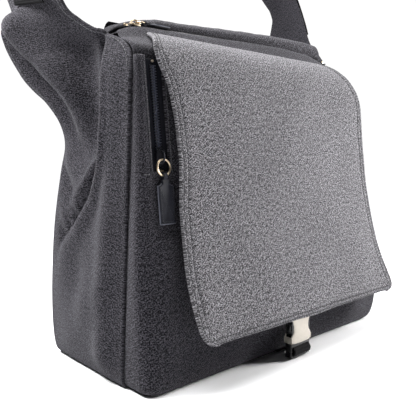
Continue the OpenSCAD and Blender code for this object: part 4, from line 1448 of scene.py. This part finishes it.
def buckle():
    """The metal cover of the female half: two curved faces joined by four corner walls."""
    parts = Parts()
    outline = cover_outline()

    def width_at(z):
        near = [x for (x, z0), (_, z1) in zip(outline, outline[1:])
                if x > 0 and min(z0, z1) - 1e-6 <= z <= max(z0, z1) + 1e-6]
        return max(near) if near else 12.8

    def cover_point(u, z, face):
        bulge = 0.35 * (1 - u * u) if face > 0 else 0
        return BUCKLE[0] + u * width_at(z), BUCKLE[1] - face * (5.3 - 1.0 * abs(u) ** 8 + bulge), z

    for face in (1, -1):
        grid = np.array([[cover_point(u, z, face) for u in np.linspace(-1, 1, 36)]
                         for z in np.linspace(*COVER_Z, 40)])
        parts.add(*thick_parts(grid, 1.1, flip=face < 0))
    for sign, _ in SIDES:
        for ends in ((COVER_Z[0], 22.3), (39.7, COVER_Z[1])):
            parts.block(ends, (-5.2, 5.2), (0, 1.1), 1.2, 0.35,
                        lambda a, b, d, s=sign: (BUCKLE[0] + s * (COVER_HALF - d), BUCKLE[1] + b, a))
    parts.build("buckle_plate", PLATE, "flap", ["buckle_female_cover"])
    buckle_core()
    buckle_male()


def buckle_core():
    """The female half's body inside the cover, its webbing bar, and the webbing up to the flap."""
    parts = Parts()
    for depth in ((-4.0, -3.2), (3.2, 4.0)):
        parts.block((-13.6, 13.6), (16.2, 44.8), depth, 1.6, 0.3, buckle_place)
    parts.block((-13.5, 13.5), (42.0, 44.9), (-3.4, 3.4), 1.0, 0.4, buckle_place)
    for x, z in (((-13.6, 13.6), (50.7, 54.0)), ((-13.6, -12.2), (44.0, 52)), ((12.2, 13.6), (44.0, 52))):
        parts.block(x, z, (-1.0, 3.0), 0.6, 0.5, buckle_place)
    parts.build("buckle_core", BUCKLE_PLASTIC, "flap", ["buckle_female_core"])
    profile = [(1.7, 63.9), (0.9, 58), (0.9, 52), (1.4, 48.0), (0.6, 47.0), (-1.2, 47.0), (-2.0, 48.4),
               (-1.8, 50.2)]
    webbing_strip("buckle_web_upper", [(BUCKLE[0], BUCKLE[1] + y, z) for y, z in profile], "flap",
                  ["buckle_webbing_upper"])


def webbing_strip(name, path, body, nodes):
    """The buckle's webbing along a path in its middle."""
    grid = np.array([[p + np.array((1.0, 0, 0)) * u * BUCKLE_WEB for u in np.linspace(-0.5, 0.5, 22)]
                     for p in even(smooth(path, 6), 0.8)])
    cloth(name, grid, 1.3, WEBBING, body, nodes, "webbing")


def buckle_male():
    """The male half: its frame with grip ribs and tongue, the two prongs, and its webbing."""
    parts = Parts()
    for x, z, d in (((-14.2, 14.2), (1.6, 3.7), 4.0), ((-14.2, 14.2), (7.1, 9.1), 3.6),
                    ((-14.2, 14.2), (11.9, 15.5), 4.0), ((-14.2, -12.4), (2.5, 14.5), 3.9),
                    ((12.4, 14.2), (2.5, 14.5), 3.9)):
        parts.block(x, z, (-d, d), 0.9, 0.6, buckle_place)
    for x in np.arange(9) * 2.5 - 10:
        parts.block((x - 0.4, x + 0.4), (2.0, 3.4), (3.7, 4.4), 0.35, 0.25, buckle_place)
    tongue = [(-3, 15.4), (3, 15.4), (3, 30), (2.2, 34.5), (1.0, 36), (-1.0, 36), (-2.2, 34.5), (-3, 30)]
    parts.add(*rounded_slab(even(tongue + [tongue[0]], 1.5)[:-1], -1.4, 1.4, 0.4, buckle_place))
    parts.build("buckle_male", BUCKLE_PLASTIC, "bag", ["buckle_male_frame"])
    for side, name in SIDES:
        parts = Parts()
        arm = [(9.6, 13.2), (10.8, 13.4), (11.0, 15), (10.9, 22), (12.2, 24.2), (13.8, 26.4), (14.7, 29.0),
               (14.8, 31.5), (14.4, 34.0), (13.0, 36.0), (10.8, 37.0), (9.0, 37.0), (8.4, 36.4), (8.4, 24),
               (8.4, 15), (8.5, 13.4)]
        arm = even(smooth(arm + [arm[0]], 4), 0.6)[:-1]
        if side < 0:
            arm = [(-a, b) for a, b in arm[::-1]]
        parts.add(*rounded_slab(arm, -2.5, 2.5, 0.9, buckle_place))
        parts.build(f"buckle_prong_{name}_arm", BUCKLE_PLASTIC, f"prong_{name}", [f"buckle_prong_{name}"])
    low = [(-69, 2.7), (-74, 2.8), (-79, 3.6), (-84, 6.6), (-89, 10.2), (-93, 11.2), (-97.0, 11.4),
           (-99.0, 9.8), (-99.4, 7.6), (-98.6, 5.4), (-96.2, 4.6), (-93.0, 4.6)]
    webbing_strip("buckle_web_lower", [(BUCKLE[0], y, z) for y, z in low], "bag", ["buckle_webbing_lower"])
    verts, faces = rounded_slab(box_outline(-26, 6, -68.4, -52.2, 1.0), 3.2, 4.5, 0.5)
    make("anchor_patch", verts, faces, WEBBING, "bag", ["webbing_anchor_patch"], verts[:, :2])


buckle()

# ---------------------------------------------------------------- strap

def strap_section(k, depth, s=0.0, columns=24):
    """A row of points across the webbing at station k, depth mm out from the strap's middle line."""
    c, t, m, n = strap_frame(k)
    return [c + t * s + m * STRAP_WEB / 2 * u + n * depth for u in np.linspace(-1, 1, columns)]


def strap_rows(stations, depth):
    return [strap_section(k, depth) for k in stations]


def skewed(rows, start, drop):
    """Draws the front of a webbing's sewn end down the wing."""
    out = []
    for i, row in enumerate(rows):
        k = start + 0.5 * i
        t = strap_frame(k)[1]
        pull = drop * (1 - float(ease(start, start + 2.5, k)))
        out.append([p - t * pull * (1 - j / (len(row) - 1)) for j, p in enumerate(row)])
    return out


def web_turn(side):
    """Outer face of the webbing's turn about a bar of the ring, from the upper layer to the lower one."""
    reach = FOLD_R + 2.0
    return [strap_section(RING_AT, RING_DEPTH + reach * math.sin(a), side * (BAR_S + reach * math.cos(a)))
            for a in np.radians(np.linspace(75, -75, 13))]


def strap_pieces():
    """The strap's webbing, its stitches, ring and adjuster."""
    start = 9.6
    outer = skewed(strap_rows(np.arange(start, RING_AT - 1 + 1e-6, 0.5), WEB_B), start, 28.0)
    outer.append(strap_section(RING_AT, WEB_B, -BAR_S))
    tail = [strap_section(RING_AT, TAIL_A, -BAR_S - 0.4)]
    tail += strap_rows(np.arange(RING_AT - 1, TOP - 3 - 1e-6, -0.5), TAIL_A)
    loop = strap_rows(np.arange(RING_AT + 3, RING_AT + 0.5, -0.5), TAIL_A)
    loop.append(strap_section(RING_AT, TAIL_A, BAR_S))
    loop += web_turn(1)[::-1] + [strap_section(RING_AT, WEB_B, BAR_S)]
    loop += strap_rows(np.arange(RING_AT + 1, 2 * TOP - start + 1e-6, 0.5), WEB_B)
    for name, rows, node in (("strap_web", outer + web_turn(-1), "strap_webbing"),
                             ("strap_web_tail", tail, "strap_webbing_tail"),
                             ("strap_web_loop", loop, "strap_webbing_loop")):
        cloth(name, np.array(rows), 1.9, WEBBING, "strap", [node], "webbing")
    strap_stitching(start)
    strap_ring()
    adjuster()


def strap_stitching(start):
    """Box stitches that hold the webbing to the wool, and its long edge seams."""
    parts = Parts()
    reach, out = STRAP_WEB / 2 - 3.2, WEB_B + 0.05
    for k0, k1 in ((start + 0.2, WING_LAST - 0.4), (2 * TOP - WING_LAST + 0.4, 2 * TOP - start - 0.2)):
        ks = np.arange(k0, k1, 0.25)
        for edge in (-1, 1):
            path, normals = [], []
            for k in ks:
                c, _, m, n = strap_frame(k)
                path.append(c + m * edge * reach + n * out)
                normals.append(n)
            stitches(parts, path, normals, 3.4, 2.5, 0.32, 0.1)
        for k in (k0, k0 + 0.6, k1 - 0.6, k1):
            c, _, m, n = strap_frame(k)
            path = [c + m * u * reach + n * out for u in np.linspace(-1, 1, 14)]
            stitches(parts, path, [n] * 14, 3.0, 2.2, 0.32, 0.1)
    parts.build("strap_stitching", THREAD, "strap")


def strap_ring():
    """The rectangular wire ring that joins the webbing and its loop."""
    c, t, m, n = strap_frame(RING_AT)
    half = STRAP_WEB / 2 + 3.0
    corners = box_outline(-BAR_S, BAR_S, -half, half, 3.4, 5)
    path = even(list(corners) + [corners[0]], 1.2)[:-1]
    points = [c + t * a + m * b + n * RING_DEPTH for a, b in path]
    parts = Parts()
    parts.add(*tube(points, 1.95, 12, closed=True, up=tuple(n)))
    parts.build("strap_ring_wire", HARDWARE, "strap", ["strap_ring"])


def adjuster():
    """Slide adjuster: two side rails and rounded bars over, between and under the layers."""
    c, t, m, n = strap_frame(TOP)
    parts = Parts()
    place = lambda a, b, d: c + t * a + m * d + n * b
    half = STRAP_WEB / 2 + 0.9
    low, high = TAIL_A - 3, WEB_B + 3
    for sign in (-1, 1):
        rail = sorted((sign * half, sign * (half + 4.0)))
        parts.block((-13.8, 13.8), (low + 0.2, high - 0.2), rail, 2.6, 0.9, place)
    bars = [(s, *z) for s in (-11, 11) for z in ((low + 0.2, TAIL_A - 0.6), (TAIL_B + 0.6, WEB_A - 0.6),
                                                 (WEB_B + 0.6, high - 0.2))]
    bars.append((0, TAIL_B + 0.6, WEB_A - 0.6))
    for s, z0, z1 in bars:
        radius = min(1.2, (z1 - z0) * 0.45)
        parts.block((s - 2.8, s + 2.8), (z0, z1), (-half - 0.5, half + 0.5), radius, 0.5, place)
    parts.build("adjuster_slide", HARDWARE, "adjuster", ["strap_adjuster"])


strap_pieces()

# ---------------------------------------------------------------- floor, light and camera

FLOOR_DARK, FLOOR_LIGHT = (0.93, 0.935, 0.95), (0.95, 0.953, 0.965)
LOOK_AT = Vector((0, 0, 0.15))
GROUND_GLOW, WORLD_LIGHT = 1.01, 0.03     # the world as the camera sees it, and as a light
SUN_POWER, SUN_SPREAD, SUN_WAY = 4.0, math.radians(50), Vector((0.12, -0.16, -0.97))
CAMERA_AT = (-0.4267, -0.4145, 0.1992)
CAMERA_AZIMUTH, CAMERA_PITCH = math.radians(42.7), math.radians(5.7)
LENS = 46.66153846153847                  # mm, on a sensor 36 mm wide
# name, place in m, size in m, power in W, colour
LAMPS = (("key", (0.57, -0.37, 0.38), 0.20, 8.2, (1.0, 0.99, 0.98)),
         ("left", (-0.42, 0.20, 0.60), 0.15, 5.4, (1.0, 0.99, 0.99)),
         ("top", (-0.08, 0.12, 0.60), 0.15, 2.5, (1.0, 0.99, 0.99)),
         ("rim", (-0.60, 1.25, 1.00), 0.50, 6, (0.97, 0.975, 1.0)))


def stage():
    """A white floor, a world that is bright to the camera alone, four lamps and a soft overhead sun."""
    bpy.ops.mesh.primitive_plane_add(size=6, location=(0, 0, 0))
    floor = bpy.context.object
    floor.name = "floor"
    mat, tree, shader = new_material("floor", FLOOR_DARK, 0.6)
    floor.data.materials.append(mat)
    grain = noise(tree, object_coords(tree), 3.0)
    drive(tree, shader, "Base Color", grain, [(0.3, FLOOR_DARK), (0.7, FLOOR_LIGHT)])
    world = bpy.data.worlds.new("studio")
    bpy.context.scene.world = world
    bpy.context.scene.view_settings.view_transform = "Standard"
    world.use_nodes = True
    background = world.node_tree.nodes["Background"]
    background.inputs["Color"].default_value = (1, 1, 1, 1)
    ray = add(world.node_tree, "ShaderNodeLightPath")
    glow = add(world.node_tree, "ShaderNodeMath", operation="MULTIPLY_ADD")
    glow.inputs[1].default_value = GROUND_GLOW
    glow.inputs[2].default_value = WORLD_LIGHT
    world.node_tree.links.new(ray.outputs["Is Camera Ray"], glow.inputs[0])
    world.node_tree.links.new(glow.outputs[0], background.inputs["Strength"])
    for name, where, size, power, colour in LAMPS:
        light = bpy.data.lights.new(name, "AREA")
        light.size = size
        light.energy = power
        light.color = colour
        lamp = bpy.data.objects.new(name, light)
        lamp.location = where
        lamp.rotation_euler = (LOOK_AT - Vector(where)).to_track_quat("-Z", "Y").to_euler()
        lamp.visible_camera = False
        bpy.context.collection.objects.link(lamp)
    sun = bpy.data.objects.new("overhead", bpy.data.lights.new("overhead", "SUN"))
    sun.data.energy = SUN_POWER
    sun.data.angle = SUN_SPREAD
    sun.rotation_euler = SUN_WAY.to_track_quat("-Z", "Y").to_euler()
    bpy.context.collection.objects.link(sun)


def camera():
    """The photo's view: place, direction and lens were fitted to the bag's straight edges."""
    data = bpy.data.cameras.new("camera")
    data.sensor_width = 36.0
    data.lens = LENS
    cam = bpy.data.objects.new("camera", data)
    level = math.cos(CAMERA_PITCH)
    look = Vector((math.sin(CAMERA_AZIMUTH) * level, math.cos(CAMERA_AZIMUTH) * level,
                   -math.sin(CAMERA_PITCH)))
    cam.location = CAMERA_AT
    cam.rotation_euler = look.to_track_quat("-Z", "Y").to_euler()
    data.clip_start = 0.01
    bpy.context.collection.objects.link(cam)
    bpy.context.scene.camera = cam


stage()
camera()
